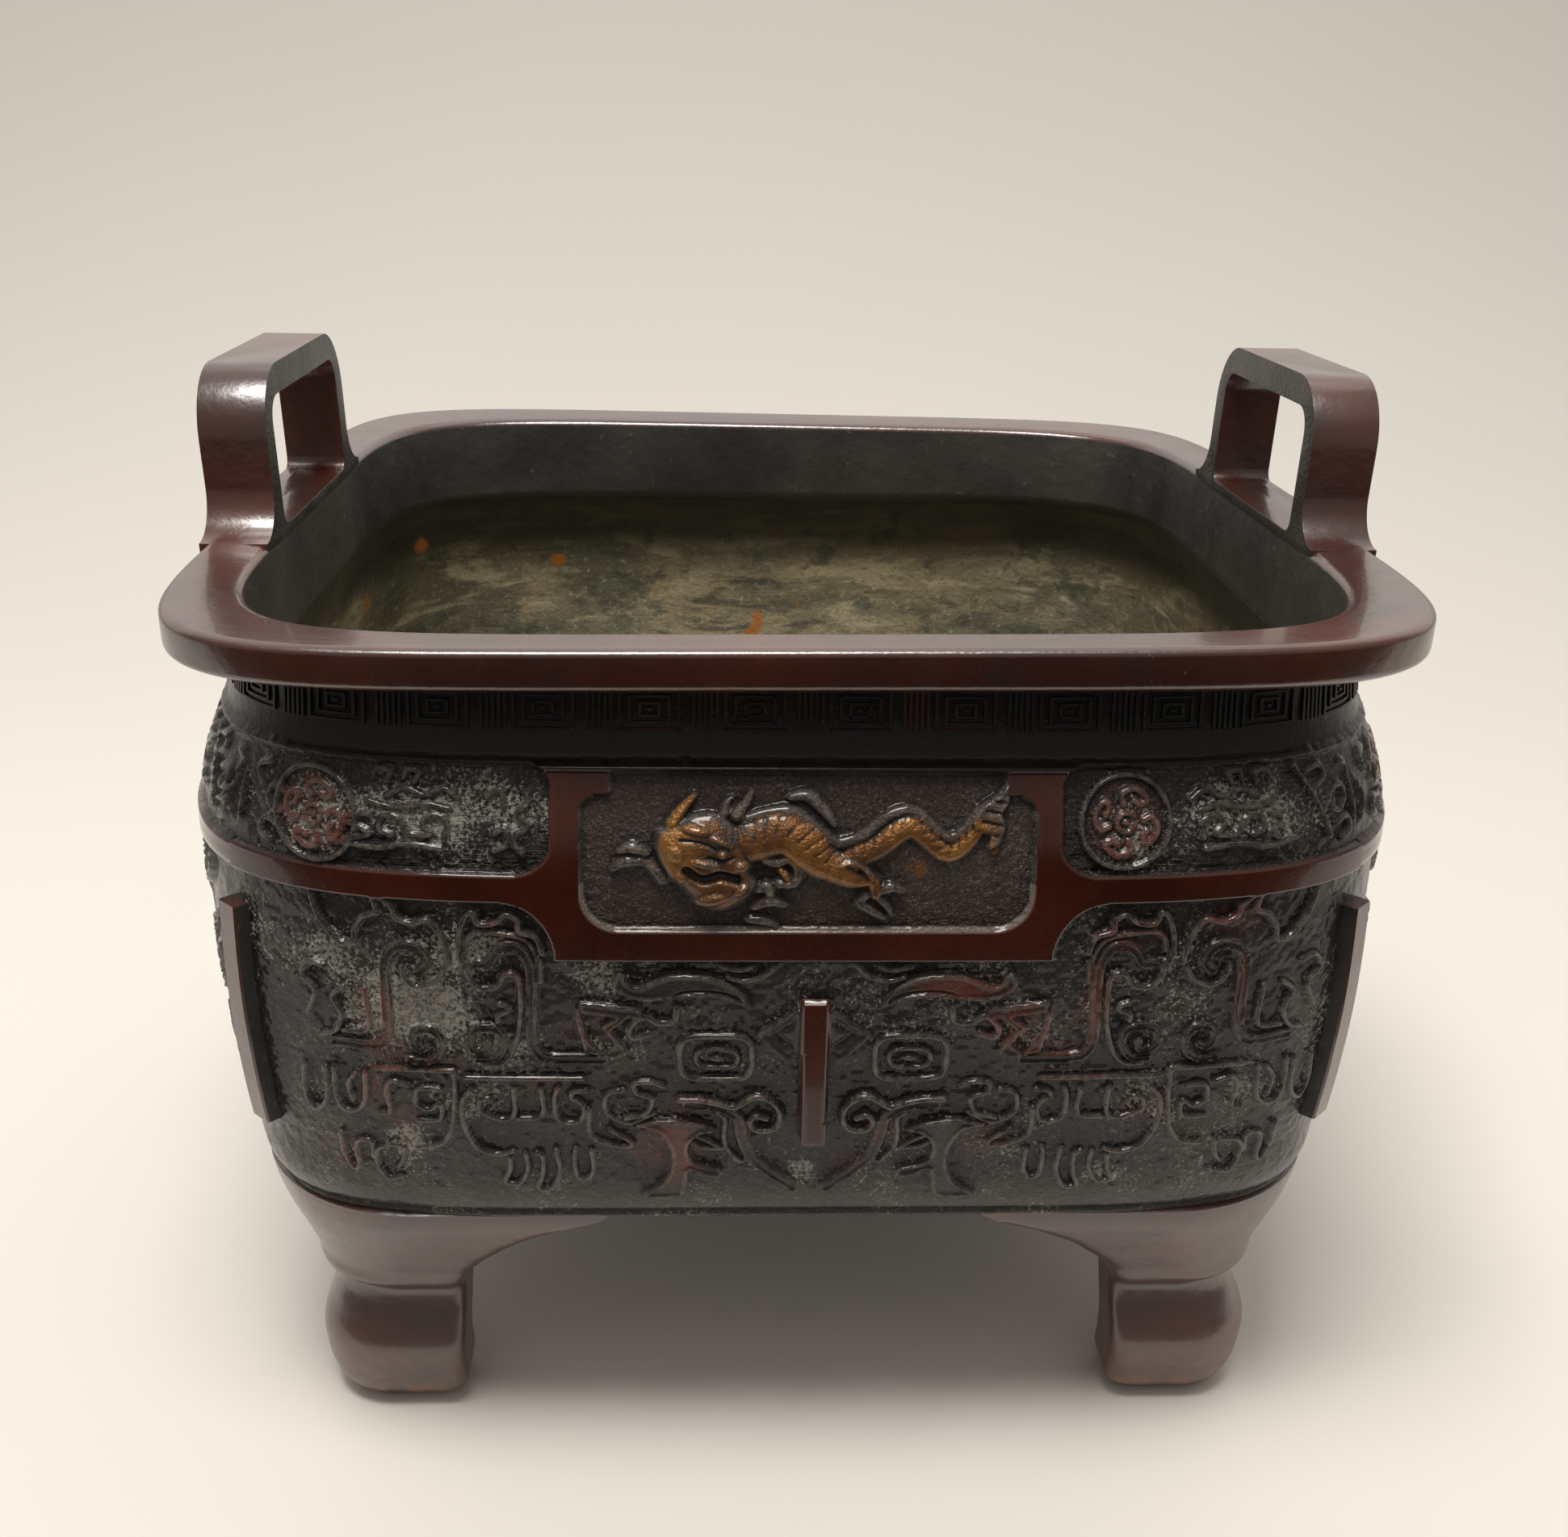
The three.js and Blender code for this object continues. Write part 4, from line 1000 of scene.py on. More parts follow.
def foot_ring(inner, outer, corner):
    """One level of the foot at the corner where x and y are both positive."""
    side = 4.0  # radius of the two end corners
    back = outer - FOOT_WEB
    loop = [(back, inner), *arc(outer - side, inner + side, side, -90, 0, 6),
            *arc(outer - corner, outer - corner, corner, 0, 90, 24),
            *arc(inner + side, outer - side, side, 90, 180, 6), (inner, back)]
    closed = np.array([*loop, loop[0]])
    run = np.concatenate([[0], np.cumsum(np.hypot(*np.diff(closed, axis=0).T))])
    even = np.linspace(0, run[-1], FOOT_AROUND, endpoint=False)
    return np.stack([np.interp(even, run, closed[:, 0]), np.interp(even, run, closed[:, 1])], axis=1)


foot_heights = np.unique(np.concatenate([FOOT[:5, 0], np.linspace(5, 67.3, 60), FOOT[9:12, 0], FOOT[-3:, 0]]))
foot_levels = through(FOOT, foot_heights)
foot_rings = [np.column_stack([foot_ring(*level), np.full(FOOT_AROUND, z)])
              for z, level in zip(foot_heights, foot_levels)]
foot_points = np.concatenate(foot_rings)
k = np.arange(FOOT_AROUND)
foot_top = list(range(len(foot_points) - FOOT_AROUND, len(foot_points)))
foot_faces = [list(range(FOOT_AROUND - 1, -1, -1))]
for r in range(len(foot_heights) - 1):
    a, b = r * FOOT_AROUND + k, r * FOOT_AROUND + (k + 1) % FOOT_AROUND
    foot_faces.extend(np.stack([a, b, b + FOOT_AROUND, a + FOOT_AROUND], axis=1).tolist())
foot_faces.append(foot_top)
one_foot = mesh_from("one_foot", foot_points, foot_faces)
print("foot levels", len(foot_heights))

# %% One corner bar
BAR_FOOT, BAR_TOP = 88.0, 142.4
BAR_PROUD, BAR_SUNK, BAR_HALF = 3.4, -4.0, 3.2
BAR_SECTION = [(BAR_SUNK, -BAR_HALF), (BAR_PROUD - 0.5, -BAR_HALF), (BAR_PROUD, 0.4 - BAR_HALF),
               (BAR_PROUD, BAR_HALF - 0.4), (BAR_PROUD - 0.5, BAR_HALF), (BAR_SUNK, BAR_HALF)]


def corner_bar():
    """A bar on one corner. Its first and last levels sink into the wall and close its ends."""
    z = np.concatenate([[BAR_FOOT] * 2, np.linspace(BAR_FOOT + 0.6, BAR_TOP - 0.6, 30), [BAR_TOP] * 2])
    half, square = through(WALL, z).T
    reach = math.sqrt(2) * (half + DEEPER / 2) * 0.5 ** (1 / square)
    slant = math.sqrt(0.5)
    verts, faces = [], []
    for level, (height, out) in enumerate(zip(z, reach)):
        closing = level in (0, len(z) - 1)
        for r, w in BAR_SECTION:
            r = BAR_SUNK if closing else r
            verts.append(((out + r) * slant - w * slant, (out + r) * slant + w * slant, height))
    for level in range(len(z) - 1):
        for j in range(6):
            a, b = level * 6 + j, level * 6 + (j + 1) % 6
            faces.append([a, b, b + 6, a + 6])
    return mesh_from("one_bar", verts, faces)


one_bar = corner_bar()
print("bar", BAR_TOP - BAR_FOOT, "mm high")

# %% [markdown]
# ## Nodes written as sums
# Trees of nodes repeat the feet, wrap the fret and make every finish. Placing nodes one by one
# would fill pages. A small class wraps a socket, so that plain sums add Math nodes, and every
# other node comes from one method.

# %% Values and nodes
class Value:
    """A socket that can stand in a sum, as if it were a number."""

    def __init__(self, nodes, socket):
        self.nodes, self.socket = nodes, socket

    def _sum(self, kind, a, b):
        made = self.nodes.node("ShaderNodeMath", {"operation": kind}, {0: a, 1: b})
        return Value(self.nodes, made.outputs[0])

    def __add__(self, other):
        return self._sum("ADD", self, other)

    def __radd__(self, other):
        return self._sum("ADD", other, self)

    def __sub__(self, other):
        return self._sum("SUBTRACT", self, other)

    def __rsub__(self, other):
        return self._sum("SUBTRACT", other, self)

    def __mul__(self, other):
        return self._sum("MULTIPLY", self, other)

    def __rmul__(self, other):
        return self._sum("MULTIPLY", other, self)

    def __truediv__(self, other):
        return self._sum("DIVIDE", self, other)

    def __rtruediv__(self, other):
        return self._sum("DIVIDE", other, self)

    def over(self, low, high):
        """0 at low and 1 at high, eased between. Low may be the larger one."""
        made = self.nodes.node("ShaderNodeMapRange", {"interpolation_type": "SMOOTHSTEP"},
                               {"Value": self, "From Min": low, "From Max": high})
        return Value(self.nodes, made.outputs[0])


class Nodes:
    """A node tree, with one method that adds any node."""

    def __init__(self, tree):
        self.tree = tree

    def node(self, kind, settings=None, inputs=None):
        made = self.tree.nodes.new(kind)
        for key, value in (settings or {}).items():
            setattr(made, key, value)
        for key, value in (inputs or {}).items():
            value = value.socket if isinstance(value, Value) else value
            if isinstance(value, bpy.types.NodeSocket):
                self.tree.links.new(value, made.inputs[key])
            else:
                made.inputs[key].default_value = value
        return made

    def split(self, vector):
        """The three parts of a vector as values."""
        made = self.node("ShaderNodeSeparateXYZ", None, {0: vector})
        return [Value(self, socket) for socket in made.outputs]

    def blend(self, share, a, b):
        """The colour a where the share is 0, and b where it is 1."""
        a, b = [(*c, 1) if isinstance(c, tuple) else c for c in (a, b)]
        return self.node("ShaderNodeMix", {"data_type": "RGBA"}, {0: share, 6: a, 7: b}).outputs[2]


print("helpers for nodes ready")

# %% [markdown]
# ## Four round the middle
# A founder casts the four feet and the four corner bars from one pattern each. Copies could be
# duplicated by hand. Geometry Nodes do it with one number, how many corners there are: points, a
# copy on each, turned by its index, and then made real, because only real faces are exported.

# %% A tree that sets copies round the middle
class Tree(Nodes):
    """A Geometry Nodes tree with named inputs."""

    def __init__(self, name, **kinds):
        super().__init__(bpy.data.node_groups.new(name, "GeometryNodeTree"))
        for label, kind in {"Geometry": "Geometry", **kinds}.items():
            self.tree.interface.new_socket(label, in_out="INPUT", socket_type="NodeSocket" + kind)
        self.tree.interface.new_socket("Geometry", in_out="OUTPUT", socket_type="NodeSocketGeometry")
        self.given = self.node("NodeGroupInput").outputs

    def value(self, name):
        return Value(self, self.given[name])

    def finished(self, geometry):
        """Puts the finish on the geometry, and gives both as the result of the tree."""
        painted = self.node("GeometryNodeSetMaterial", None, {
            "Geometry": geometry, "Material": self.given["Finish"]})
        self.node("NodeGroupOutput", None, {0: painted.outputs[0]})
        return self.tree


def round_tree():
    tree = Tree("round the middle", Corners="Int", Finish="Material")
    points = tree.node("GeometryNodePoints", None, {"Count": tree.given["Corners"]})
    index = Value(tree, tree.node("GeometryNodeInputIndex").outputs[0])
    spin = tree.node("ShaderNodeCombineXYZ", None, {"Z": index * (2 * math.pi / tree.value("Corners"))})
    copies = tree.node("GeometryNodeInstanceOnPoints", None, {
        "Points": points.outputs[0], "Instance": tree.given["Geometry"], "Rotation": spin.outputs[0]})
    real = tree.node("GeometryNodeRealizeInstances", None, {0: copies.outputs[0]})
    return tree.finished(real.outputs[0])


def bake(source, tree, name, **values):
    """Runs a tree on an object and keeps the result as a plain mesh with one finish."""
    modifier = source.modifiers.new("tree", "NODES")
    modifier.node_group = tree
    for item in tree.interface.items_tree:
        if item.in_out == "INPUT" and item.name in values:
            modifier[item.identifier] = values[item.name]
    mesh = bpy.data.meshes.new_from_object(source.evaluated_get(bpy.context.evaluated_depsgraph_get()))
    mesh.name = name
    mesh.materials.clear()
    mesh.materials.append(values["Finish"])
    mesh.polygons.foreach_set("material_index", np.zeros(len(mesh.polygons), np.int32))
    bpy.data.objects.remove(source)
    piece = bpy.data.objects.new(name, mesh)
    bpy.context.scene.collection.objects.link(piece)
    print(name, len(mesh.polygons), "faces")
    return piece


print("trees can be baked")

# %% [markdown]
# ## Fret round the neck
# A band of nested squares, parted by short upright bars, runs round the neck just under the rim.
# An array modifier on a curve would not close exactly. Here one unit is drawn flat, Geometry Nodes
# repeat it along a line as long as the neck is round, and then wrap that line onto the neck.

# %% One unit of the fret
FRET_UNITS = 44
FRET_LOW, FRET_HIGH = 184.6, 193.9
FRET_MIDDLE = 189.2
FRET_LINE = 0.62
neck_half = through(WALL, np.array([FRET_MIDDLE]))[0, 0]
neck_outline = ring(neck_half, neck_half + DEEPER, 5.5, FRET_MIDDLE)
neck_round = np.hypot(*np.diff(np.vstack([neck_outline, neck_outline[:1]])[:, :2], axis=0).T).sum()
PITCH = neck_round / FRET_UNITS


def strip(x0, x1, z0, z1, verts, faces, proud=0.55, sunk=-0.9):
    """A bar lying on the neck, in short lengths so that it can bend."""
    lean = (lambda z: -0.105 * (z - (FRET_HIGH - FRET_LOW) / 2))
    steps = max(1, round((x1 - x0) / 2.0))
    first = len(verts)
    for x in np.linspace(x0, x1, steps + 1):
        for z, y in ((z0, sunk), (z0 + 0.08, proud), (z1 - 0.08, proud), (z1, sunk)):
            verts.append((x, y + lean(z), z))
    for k in range(steps):
        a = first + 4 * k
        faces.extend([[a + j, a + j + 4, a + j + 5, a + j + 1] for j in range(3)])
    last = first + 4 * steps
    faces.extend([[first, first + 1, first + 2, first + 3], [last + 3, last + 2, last + 1, last]])


def fret_unit():
    """Three nested squares with a dot, and five upright bars."""
    verts, faces = [], []
    tall = FRET_HIGH - FRET_LOW
    middle, line = PITCH / 2, FRET_LINE
    for half_wide, half_tall in ((6.3, 4.4), (4.3, 3.0), (2.3, 1.6)):
        z0, z1 = tall / 2 - half_tall, tall / 2 + half_tall
        strip(middle - half_wide, middle + half_wide, z1 - line, z1, verts, faces)
        strip(middle - half_wide, middle + half_wide, z0, z0 + line, verts, faces)
        strip(middle - half_wide, middle - half_wide + line, z0, z1, verts, faces)
        strip(middle + half_wide - line, middle + half_wide, z0, z1, verts, faces)
    strip(middle - 0.6, middle + 0.6, tall / 2 - 0.35, tall / 2 + 0.35, verts, faces)
    for x in (0.3, 1.5, 2.7, PITCH - 2.1, PITCH - 0.9):
        strip(x, x + line, 0.2, tall - 0.2, verts, faces)
    return mesh_from("fret_unit", verts, faces)

print("fret pitch", round(PITCH, 2), "mm")

# %% A tree that wraps the fret round the neck
def wrap_tree():
    tree = Tree("fret band", Outline="Object", Units="Int", Pitch="Float", Lift="Float", Finish="Material")
    step = tree.node("ShaderNodeCombineXYZ", None, {"X": tree.given["Pitch"]})
    line = tree.node("GeometryNodeMeshLine", None, {"Count": tree.given["Units"], "Offset": step.outputs[0]})
    copies = tree.node("GeometryNodeInstanceOnPoints", None, {
        "Points": line.outputs[0], "Instance": tree.given["Geometry"]})
    real = tree.node("GeometryNodeRealizeInstances", None, {0: copies.outputs[0]})
    along, proud, height = tree.split(tree.node("GeometryNodeInputPosition").outputs[0])
    outline = tree.node("GeometryNodeObjectInfo", None, {"Object": tree.given["Outline"]})
    curve = tree.node("GeometryNodeMeshToCurve", None, {"Mesh": outline.outputs["Geometry"]})
    spot = tree.node("GeometryNodeSampleCurve", {"mode": "LENGTH", "use_all_curves": True},
                     {"Curves": curve.outputs[0], "Length": along})
    out = tree.node("ShaderNodeVectorMath", {"operation": "CROSS_PRODUCT"},
                    {0: spot.outputs["Tangent"], 1: (0.0, 0.0, 1.0)})
    push = tree.node("ShaderNodeVectorMath", {"operation": "SCALE"}, {0: out.outputs[0], "Scale": proud})
    rise = tree.node("ShaderNodeCombineXYZ", None, {"Z": height + tree.value("Lift")})
    level = tree.node("ShaderNodeVectorMath", {"operation": "ADD"}, {0: push.outputs[0], 1: rise.outputs[0]})
    place = tree.node("ShaderNodeVectorMath", {"operation": "ADD"},
                      {0: spot.outputs["Position"], 1: level.outputs[0]})
    wrapped = tree.node("GeometryNodeSetPosition", None, {
        "Geometry": real.outputs[0], "Position": place.outputs[0]})
    return tree.finished(wrapped.outputs[0])


def fret_band(finish):
    loop = bpy.data.meshes.new("neck_line")
    flat = neck_outline * [1, 1, 0] * MM
    loop.from_pydata(flat.tolist(), [(k, (k + 1) % AROUND) for k in range(AROUND)], [])
    outline = bpy.data.objects.new("neck_line", loop)
    bpy.context.scene.collection.objects.link(outline)
    band = bake(fret_unit(), wrap_tree(), "fret_band", Outline=outline, Units=FRET_UNITS, Pitch=PITCH * MM,
                Lift=FRET_LOW * MM, Finish=finish)
    bpy.data.objects.remove(outline)
    band.data.polygons.foreach_set("use_smooth", np.zeros(len(band.data.polygons), bool))
    return band


print("neck is", round(neck_round), "mm round")

# %% [markdown]
# ## Finishes
# Old bronze is never one colour. Every finish here starts from one dark body colour and lays
# others over it, each with its own share made from noise or from the masks that were painted with
# the strokes. A picture could be wrapped round instead, but noise has no seams and no blur.

# %% A finish
class Finish(Nodes):
    """A material and the nodes that make it."""

    def __init__(self, name, **plain):
        self.material = bpy.data.materials.new(name)
        self.material.use_nodes = True
        super().__init__(self.material.node_tree)
        self.shader = self.tree.nodes["Principled BSDF"]
        for key, value in plain.items():
            self.shader.inputs[key.replace("_", " ")].default_value = value
        self.place = self.node("ShaderNodeTexCoord").outputs["Object"]

    def noise(self, scale, detail=3.0, rough=0.55, twist=0.0, place=None):
        made = self.node("ShaderNodeTexNoise", None, {
            "Vector": place or self.place, "Scale": scale, "Detail": detail, "Roughness": rough,
            "Distortion": twist})
        return Value(self, made.outputs[0])

    def read(self, name):
        """A mask kept on the mesh."""
        return Value(self, self.node("ShaderNodeAttribute", {"attribute_name": name}).outputs["Fac"])

    def bump(self, height, depth, before=None):
        inputs = {"Height": height, "Distance": depth, "Strength": 1.0}
        if before is not None:
            inputs["Normal"] = before
        return self.node("ShaderNodeBump", None, inputs).outputs[0]

    def set(self, name, value):
        value = value.socket if isinstance(value, Value) else value
        self.tree.links.new(value, self.shader.inputs[name])


print("noise, masks and bumps ready")

# %% [markdown]
# ## Polished bronze
# Rim, handles and feet are rubbed smooth to an oxblood brown, cloudy and nearly black in streaks,
# with specks of dust. A clear coat gives the waxed shine. The toes are scuffed paler.

# %% Polished brown bronze
OXBLOOD = (0.040, 0.0072, 0.0042)
WARM = (0.078, 0.0145, 0.0068)
NEAR_BLACK = (0.0085, 0.0070, 0.0060)
DUST = (0.36, 0.34, 0.30)
SCUFFED = (0.21, 0.10, 0.055)


def polished():
    finish = Finish("oxblood_bronze", IOR=1.9, Coat_Roughness=0.08)
    cloud = finish.noise(22, 4)
    streak = finish.noise(75, 5, 0.6, 0.4)
    dust = finish.noise(1500, 2, 0.7).over(0.68, 0.76) * finish.noise(60, 3).over(0.45, 0.7)
    body = finish.blend(cloud.over(0.35, 0.68), OXBLOOD, WARM)
    body = finish.blend(streak.over(0.5, 0.75) * 0.6, body, NEAR_BLACK)
    body = finish.blend(dust * 0.45, body, DUST)
    _, _, high = finish.split(finish.place)
    scuff = high.over(0.022, 0.003) * finish.noise(130, 5, 0.7).over(0.46, 0.62)
    body = finish.blend(scuff * 0.75, body, SCUFFED)
    finish.set("Base Color", body)
    finish.set("Roughness", 0.22 + streak * 0.14 + dust * 0.3 + scuff * 0.3)
    finish.set("Coat Weight", 0.3 - dust * 0.3)
    finish.set("Normal", finish.bump(finish.noise(160, 4) + finish.noise(900, 3) * 0.16, 0.00022))
    return finish.material


oxblood = polished()
print(oxblood.name, len(oxblood.node_tree.nodes), "nodes")

# %% [markdown]
# ## Relief bronze
# The walls are near black, with painted shade darker still in the hollows, rubbed brown with a
# painted highlight on the ridges, red where they are worn, and spotted with pale dirt in the low
# places. The straps are polished and the dragon is gilded. The strokes left a mask for each of these,
# and noise breaks every mask up.

# %% Relief bronze
def relief_finish():
    finish = Finish("relief_bronze", IOR=1.42, Coat_Roughness=0.07)
    cloud = finish.noise(30, 4)
    patch = finish.noise(55, 5, 0.62)
    grain = finish.noise(520, 4, 0.65)
    fine = finish.noise(1700, 2, 0.6)
    _, _, high = finish.split(finish.place)
    tall, plain, gilt = finish.read("tall"), finish.read("plain"), finish.read("gilt")
    red, pale, chamfer = finish.read("red"), finish.read("pale"), finish.read("chamfer")
    brick, window = finish.read("brick"), finish.read("window")
    crisp, hollow = finish.read("crisp"), finish.read("hollow")
    low = (1 - tall) * (1 - plain)
    # Dark body, greyer towards the foot of the wall, brown in the window, red where it is worn.
    body = finish.blend(cloud.over(0.35, 0.7), (0.0060, 0.0055, 0.0050), (0.018, 0.0135, 0.0105))
    hem = high.over(0.084, 0.072)
    body = finish.blend(hem * (0.4 + patch), body, (0.052, 0.047, 0.042))
    body = finish.blend(window * (1 - plain), body, (0.040, 0.024, 0.018))
    worn = red * (grain * 0.6 + patch).over(0.56, 0.78) * (0.35 + tall * 0.65)
    body = finish.blend(worn, body, (0.165, 0.023, 0.012))
    # Ridges and tall strokes turn paler brown: partly rubbed wear, partly a painted highlight along the crisp
    # ridges.
    rub_and_highlight = (tall * 0.3 + crisp) * (1 - plain) * grain.over(0.35, 0.7)
    body = finish.blend(rub_and_highlight * 0.7, body, (0.165, 0.130, 0.105))
    # Pale dirt lies in the low places, and between the fine lines of the panels' ground.
    speckle = finish.noise(1150, 3, 0.75)
    chalk = low.over(0.2, 0.9) * (patch * 0.8 + speckle * 1.1 + pale * 0.26 + hollow * 0.04).over(1.04, 1.22)
    neck = high.over(0.1765, 0.1785)
    chalk = chalk * (1 - window * 0.75) * (1 - neck)
    lines = finish.node("ShaderNodeTexBrick", {"offset": 0.5}, {
        "Vector": finish.node("ShaderNodeUVMap", {"uv_map": "wall"}).outputs[0], "Scale": 100.0,
        "Color1": (1, 1, 1, 1), "Color2": (1, 1, 1, 1), "Mortar": (0, 0, 0, 1), "Mortar Size": 0.16,
        "Mortar Smooth": 0.6, "Brick Width": 2.2, "Row Height": 1.05})
    ground = Value(finish, lines.outputs["Fac"]) * brick * low
    dusty = ground * speckle.over(0.44, 0.60) * patch.over(0.36, 0.6)
    body = finish.blend(dusty * 0.75, body, (0.26, 0.24, 0.205))
    chalk = chalk * (1 - crisp * 0.8) * (0.4 + hollow * 0.4 + speckle.over(0.42, 0.56) * 0.6)
    body = finish.blend(chalk * 0.85, body, (0.44, 0.42, 0.37))
    # Specks in the window, gilding on the dragon, painted shade in the hollows, a bright sill.
    speck = window * fine.over(0.56, 0.7) * (1 - gilt)
    body = finish.blend(speck * 0.6, body, (0.20, 0.17, 0.14))
    gold = gilt * (grain * 0.8 + patch).over(0.66, 0.86) * (1 - hollow * 0.95)
    golden = finish.blend(patch.over(0.4, 0.65), (0.16, 0.058, 0.014), (0.34, 0.155, 0.036))
    body = finish.blend(gold, body, golden)
    # Painted shade: the hollows are darkened nearly to black, as if little light reached them.
    body = finish.blend(hollow * (1 - chalk) * 0.8, body, (0.0045, 0.0040, 0.0035))
    body = finish.blend(chamfer, body, (0.22, 0.18, 0.155))
    # The polished straps and the smooth black neck cover all of this.
    smooth = finish.blend(cloud.over(0.3, 0.7), (0.036, 0.0065, 0.0035), (0.066, 0.0125, 0.0058))
    body = finish.blend(plain, body, smooth)
    body = finish.blend(neck, body, (0.0085, 0.0060, 0.0048))
    finish.set("Base Color", body)
    finish.set("Roughness", 0.24 + grain * 0.22 + chalk * 0.4 - plain * 0.10 - rub_and_highlight * 0.1)
    finish.set("Metallic", gold * 0.55)
    finish.set("Coat Weight", (0.42 + crisp * 0.3) * (1 - chalk) * (1 - neck * 0.75))
    pits = (grain * low * (1.2 + window * 0.8) + fine * 0.3 * (1 - plain * 0.85)) * (1 - neck * 0.85)
    first = finish.bump(pits, 0.0012)
    finish.set("Normal", finish.bump(0 - ground, 0.0006, first))
    return finish.material


relief = relief_finish()
for wall in walls:
    wall.data.materials.append(relief)
print(relief.name, len(relief.node_tree.nodes), "nodes")

# %% [markdown]
# ## Dull and dark bronze
# Hands never rub the neck, the faces of the handles that look to the mouth, or the cuts of the
# fret. They stay dull, dark and a little mottled, so they need only two colours and some grain.

# %% Dark neck, handle faces and fret
def dark_neck():
    finish = Finish("dark_neck", IOR=1.5)
    cloud, grain = finish.noise(24, 4, 0.6, 0.3), finish.noise(300, 4, 0.6)
    body = finish.blend(cloud.over(0.3, 0.7), (0.020, 0.019, 0.017), (0.048, 0.045, 0.040))
    body = finish.blend(grain.over(0.62, 0.75) * 0.5, body, (0.14, 0.125, 0.10))
    finish.set("Base Color", body)
    finish.set("Roughness", 0.45 + cloud * 0.2)
    finish.set("Normal", finish.bump(grain + finish.noise(90, 3) * 2, 0.0003))
    return finish.material


def handle_inner():
    """The faces of the handles that look to the mouth: dull, dark and mottled."""
    finish = Finish("handle_inner", IOR=1.5)
    cloud, grain = finish.noise(60, 4, 0.6), finish.noise(700, 3, 0.6)
    body = finish.blend(cloud.over(0.35, 0.7), (0.016, 0.015, 0.013), (0.050, 0.044, 0.038))
    body = finish.blend(grain.over(0.6, 0.75) * 0.4, body, (0.12, 0.10, 0.085))
    finish.set("Base Color", body)
    finish.set("Roughness", 0.34 + grain * 0.2)
    finish.set("Normal", finish.bump(grain * 0.6 + cloud, 0.0004))
    return finish.material


def fret_finish():
    finish = Finish("fret_bronze", IOR=1.45)
    cloud, grain = finish.noise(34, 4, 0.6), finish.noise(600, 3, 0.6)
    body = finish.blend(cloud.over(0.5, 0.62), (0.010, 0.0085, 0.007), (0.045, 0.013, 0.008))
    body = finish.blend(grain.over(0.62, 0.78) * 0.4, body, (0.16, 0.145, 0.12))
    finish.set("Base Color", body)
    finish.set("Roughness", 0.36 + grain * 0.25)
    return finish.material


fret_dark, handle_dull, neck_dark = fret_finish(), handle_inner(), dark_neck()
print(fret_dark.name, handle_dull.name, neck_dark.name)

# %% [markdown]
# ## Crust of the inside
# Years of ash have left an olive crust with paler and darker streaks and a few spots of rust, and a
# painted shade darkens a band under the step. The streaks run level, so their noise is squashed in height.

# %% Crusted inside
def crust():
    finish = Finish("inside_crust", IOR=1.45)
    cloud, patch = finish.noise(13, 5, 0.62, 0.5), finish.noise(60, 6, 0.68)
    grain = finish.noise(420, 4, 0.7)
    squashed = finish.node("ShaderNodeMapping", None, {"Vector": finish.place, "Scale": (1, 1, 4.5)})
    streak = finish.noise(26, 5, 0.65, 0.6, squashed.outputs[0])
    body = finish.blend(cloud.over(0.36, 0.62), (0.14, 0.135, 0.095), (0.40, 0.33, 0.20))
    body = finish.blend(streak.over(0.5, 0.66) * 0.7, body, (0.58, 0.51, 0.34))
    body = finish.blend(streak.over(0.45, 0.34) * 0.85, body, (0.085, 0.085, 0.065))
    body = finish.blend(patch.over(0.46, 0.36) * 0.7, body, (0.075, 0.085, 0.066))
    body = finish.blend(grain.over(0.55, 0.72) * 0.5, body, (0.60, 0.54, 0.40))
    body = finish.blend(grain.over(0.44, 0.32) * 0.5, body, (0.07, 0.062, 0.045))
    _, _, high = finish.split(finish.place)
    # Painted shade: a near-black band just under the step, where the neck overhangs the inside.
    body = finish.blend((high + (cloud - 0.5) * 0.02).over(0.148, 0.164) * 0.9, body, (0.020, 0.019, 0.016))
    rust = finish.noise(34, 2).over(0.72, 0.76)
    body = finish.blend(rust, body, (0.42, 0.16, 0.03))
    finish.set("Base Color", body)
    finish.set("Roughness", 0.62 + grain * 0.25)
    finish.set("Normal", finish.bump(patch * 1.4 + grain * 0.5, 0.0011))
    return finish.material


crusted = crust()
print(crusted.name, len(crusted.node_tree.nodes), "nodes")

# %% [markdown]
# ## Putting the finishes on
# A piece with two finishes has two slots, and each face has the number of its slot. The faces
# could be picked by hand. Here the rim's are picked by their ring, and those of the handles and
# bars by the way they look.

# %% Rim, inside and handles
rim.data.materials.append(oxblood)
rim.data.materials.append(neck_dark)
first_dark = next(k for k, (z, half_x, _, _) in enumerate(rim_rings) if z < 202.4 and half_x < 127 and k > 8)
marks = np.zeros(len(rim.data.polygons), np.int32)
marks[first_dark * AROUND:] = 1
rim.data.polygons.foreach_set("material_index", marks)
inside_skin.data.materials.append(crusted)
for piece, sign in zip(handles, (1, -1)):
    piece.data.materials.clear()
    piece.data.materials.append(oxblood)
    piece.data.materials.append(handle_dull)
    for face in piece.data.polygons:
        if face.normal.x * sign < -DULL_BEYOND:
            face.material_index = 1
print("rim is dark from ring", first_dark)

# %% Four feet, four bars and the fret
CORNERS = 4
feet = bake(one_foot, round_tree(), "feet", Corners=CORNERS, Finish=oxblood)
feet.data.set_sharp_from_angle(angle=math.radians(40))
bars = bake(one_bar, round_tree(), "corner_bars", Corners=CORNERS, Finish=oxblood)
bars.data.polygons.foreach_set("use_smooth", np.zeros(len(bars.data.polygons), bool))
bars.data.materials.append(neck_dark)
for face in bars.data.polygons:
    outwards = Vector((face.center.x, face.center.y, 0)).normalized()
    if abs(face.normal.z) < 0.3 and abs(face.normal.dot(outwards)) < 0.5:
        face.material_index = 1
fret = fret_band(fret_dark)

# %% [markdown]
# ## Underside
# The bottom of the vessel is a plain plate between the feet. It is hardly ever seen, so a few
# rings and one face in the middle close it.

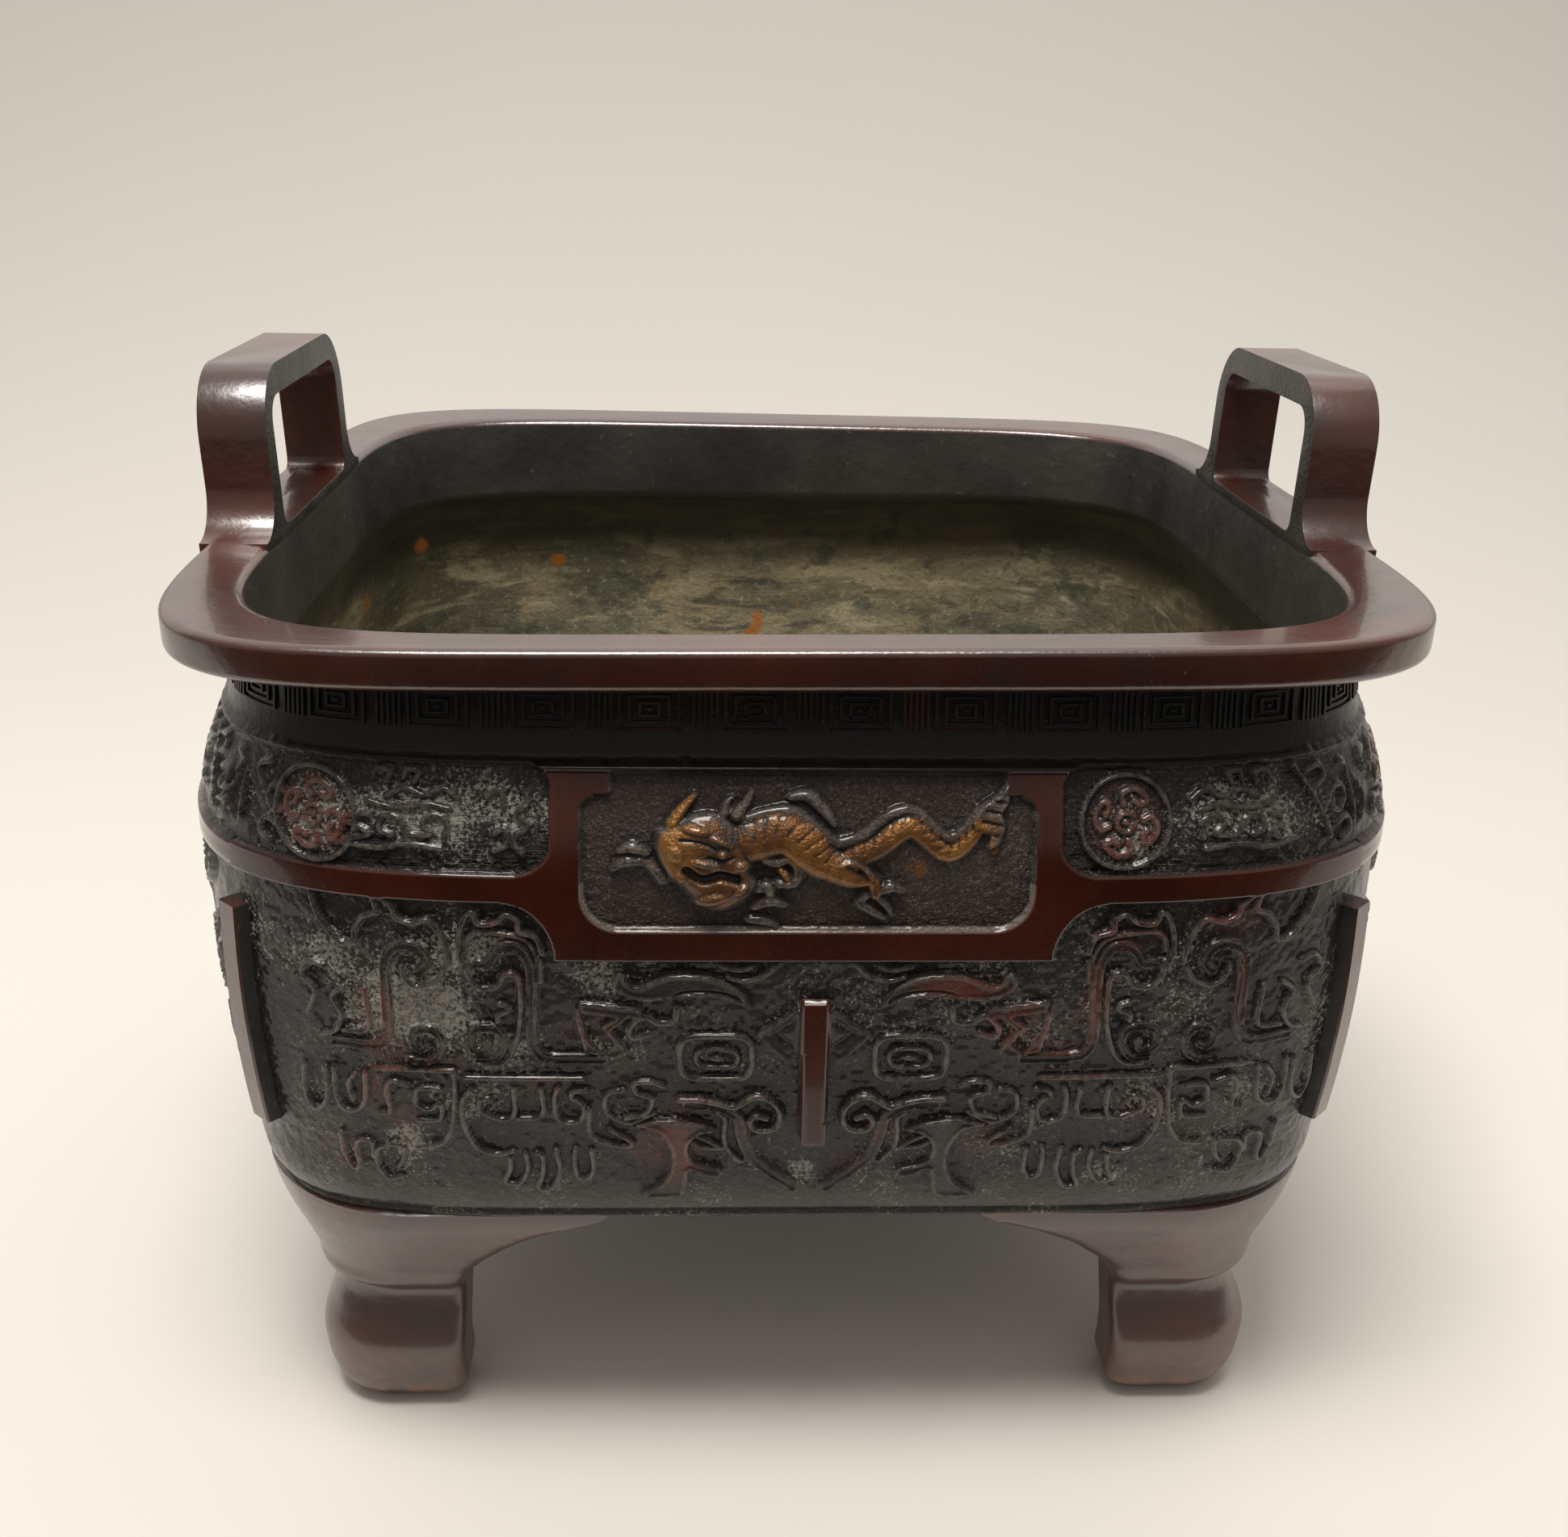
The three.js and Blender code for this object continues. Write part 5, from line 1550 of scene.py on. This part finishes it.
# %% Underside
under = [both(64.5, 125.5, 6.6), both(64.4, 90, 5.5), both(64.4, 50, 4), both(64.4, 10, 2.5)]
under_places = np.concatenate([ring(half_x, half_y, square, z) for z, half_x, half_y, square in under])
under_middle = list(range(len(under_places) - 1, len(under_places) - AROUND - 1, -1))
underside = mesh_from("underside", under_places, [*hoop_faces(len(under))[:, ::-1].tolist(), under_middle])
underside.data.materials.append(neck_dark)
print("underside", len(underside.data.polygons), "faces")

# %% [markdown]
# ## Paper
# The vessel stands on a sheet of pale paper that rises behind it in one curve, so that no edge
# shows between floor and wall. It is part of the stage and not of the vessel.

# %% Paper sweep
PAPER_FRONT, PAPER_BEND, PAPER_RADIUS, PAPER_HALF = -0.29, 0.35, 1.75, 3.0  # metres


def sweep():
    bow = [(PAPER_BEND + PAPER_RADIUS * math.sin(a), PAPER_RADIUS - PAPER_RADIUS * math.cos(a))
           for a in np.linspace(0, math.radians(46), 24)]
    verts = [(x / MM, y / MM, z / MM) for y, z in [(PAPER_FRONT, 0), *bow] for x in (-PAPER_HALF, PAPER_HALF)]
    faces = [[k, k + 1, k + 3, k + 2] for k in range(0, len(verts) - 2, 2)]
    sheet_of_paper = mesh_from("paper_sweep", verts, faces)
    finish = Finish("warm_paper", Roughness=0.9)
    finish.set("Base Color", finish.blend(finish.noise(3, 3), (0.795, 0.765, 0.715), (0.825, 0.795, 0.745)))
    sheet_of_paper.data.materials.append(finish.material)
    return sheet_of_paper


paper = sweep()
print("paper rises behind the vessel")

# %% [markdown]
# ## Light
# One soft lamp hangs overhead, a little in front and to the left, and a second one lights the
# paper behind. Polished bronze also mirrors the room, so the room has a dark lower half, a grey
# upper one, a brighter ceiling and a pale wall behind.

# %% Lamps
def soft_lamp(name, size, place, aim, watts):
    data = bpy.data.lights.new(name, "AREA")
    data.shape = "RECTANGLE"
    data.size, data.size_y = size
    data.energy = watts
    data.color = (1, 0.97, 0.92)
    lamp = bpy.data.objects.new(name, data)
    lamp.location = place
    lamp.rotation_euler = (Vector(aim) - Vector(place)).to_track_quat("-Z", "Y").to_euler()
    bpy.context.scene.collection.objects.link(lamp)
    return lamp


lamps = [soft_lamp("overhead", (0.6, 0.5), (-0.16, -0.38, 1.55), (0, 0.05, 0.1), 19.5),
         soft_lamp("far_ceiling", (1.8, 0.8), (0.2, 1.1, 2.0), (0, 0.9, 0.2), 3)]
print([lamp.name for lamp in lamps])

# %% Room
world = bpy.data.worlds.new("room")
world.use_nodes = True
room = Nodes(world.node_tree)
_, away, high = room.split(room.node("ShaderNodeTexCoord").outputs["Generated"])
seen = room.blend(high.over(-0.14, 0.02), (0.016, 0.014, 0.012), (0.27, 0.25, 0.225))
seen = room.blend(high.over(0.45, 0.80), seen, (0.47, 0.45, 0.42))
seen = room.blend(away.over(0.15, 0.60), seen, (0.95, 0.90, 0.84))
room.tree.links.new(seen, room.tree.nodes["Background"].inputs[0])
bpy.context.scene.world = world
bpy.context.scene.view_settings.view_transform = "Standard"
print("room set")

# %% [markdown]
# ## Joining the pieces to the body
# All pieces are skins of one casting. They ride its one body and together stand in for its
# solid, which is hidden.

# %% Ride and replace
pieces = [*walls, fret, rim, inside_skin, *handles, feet, bars, underside]
for piece in pieces:
    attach(piece, "root")
    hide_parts("ding")
print("triangles in all", sum(len(f.vertices) - 2 for piece in pieces for f in piece.data.polygons))
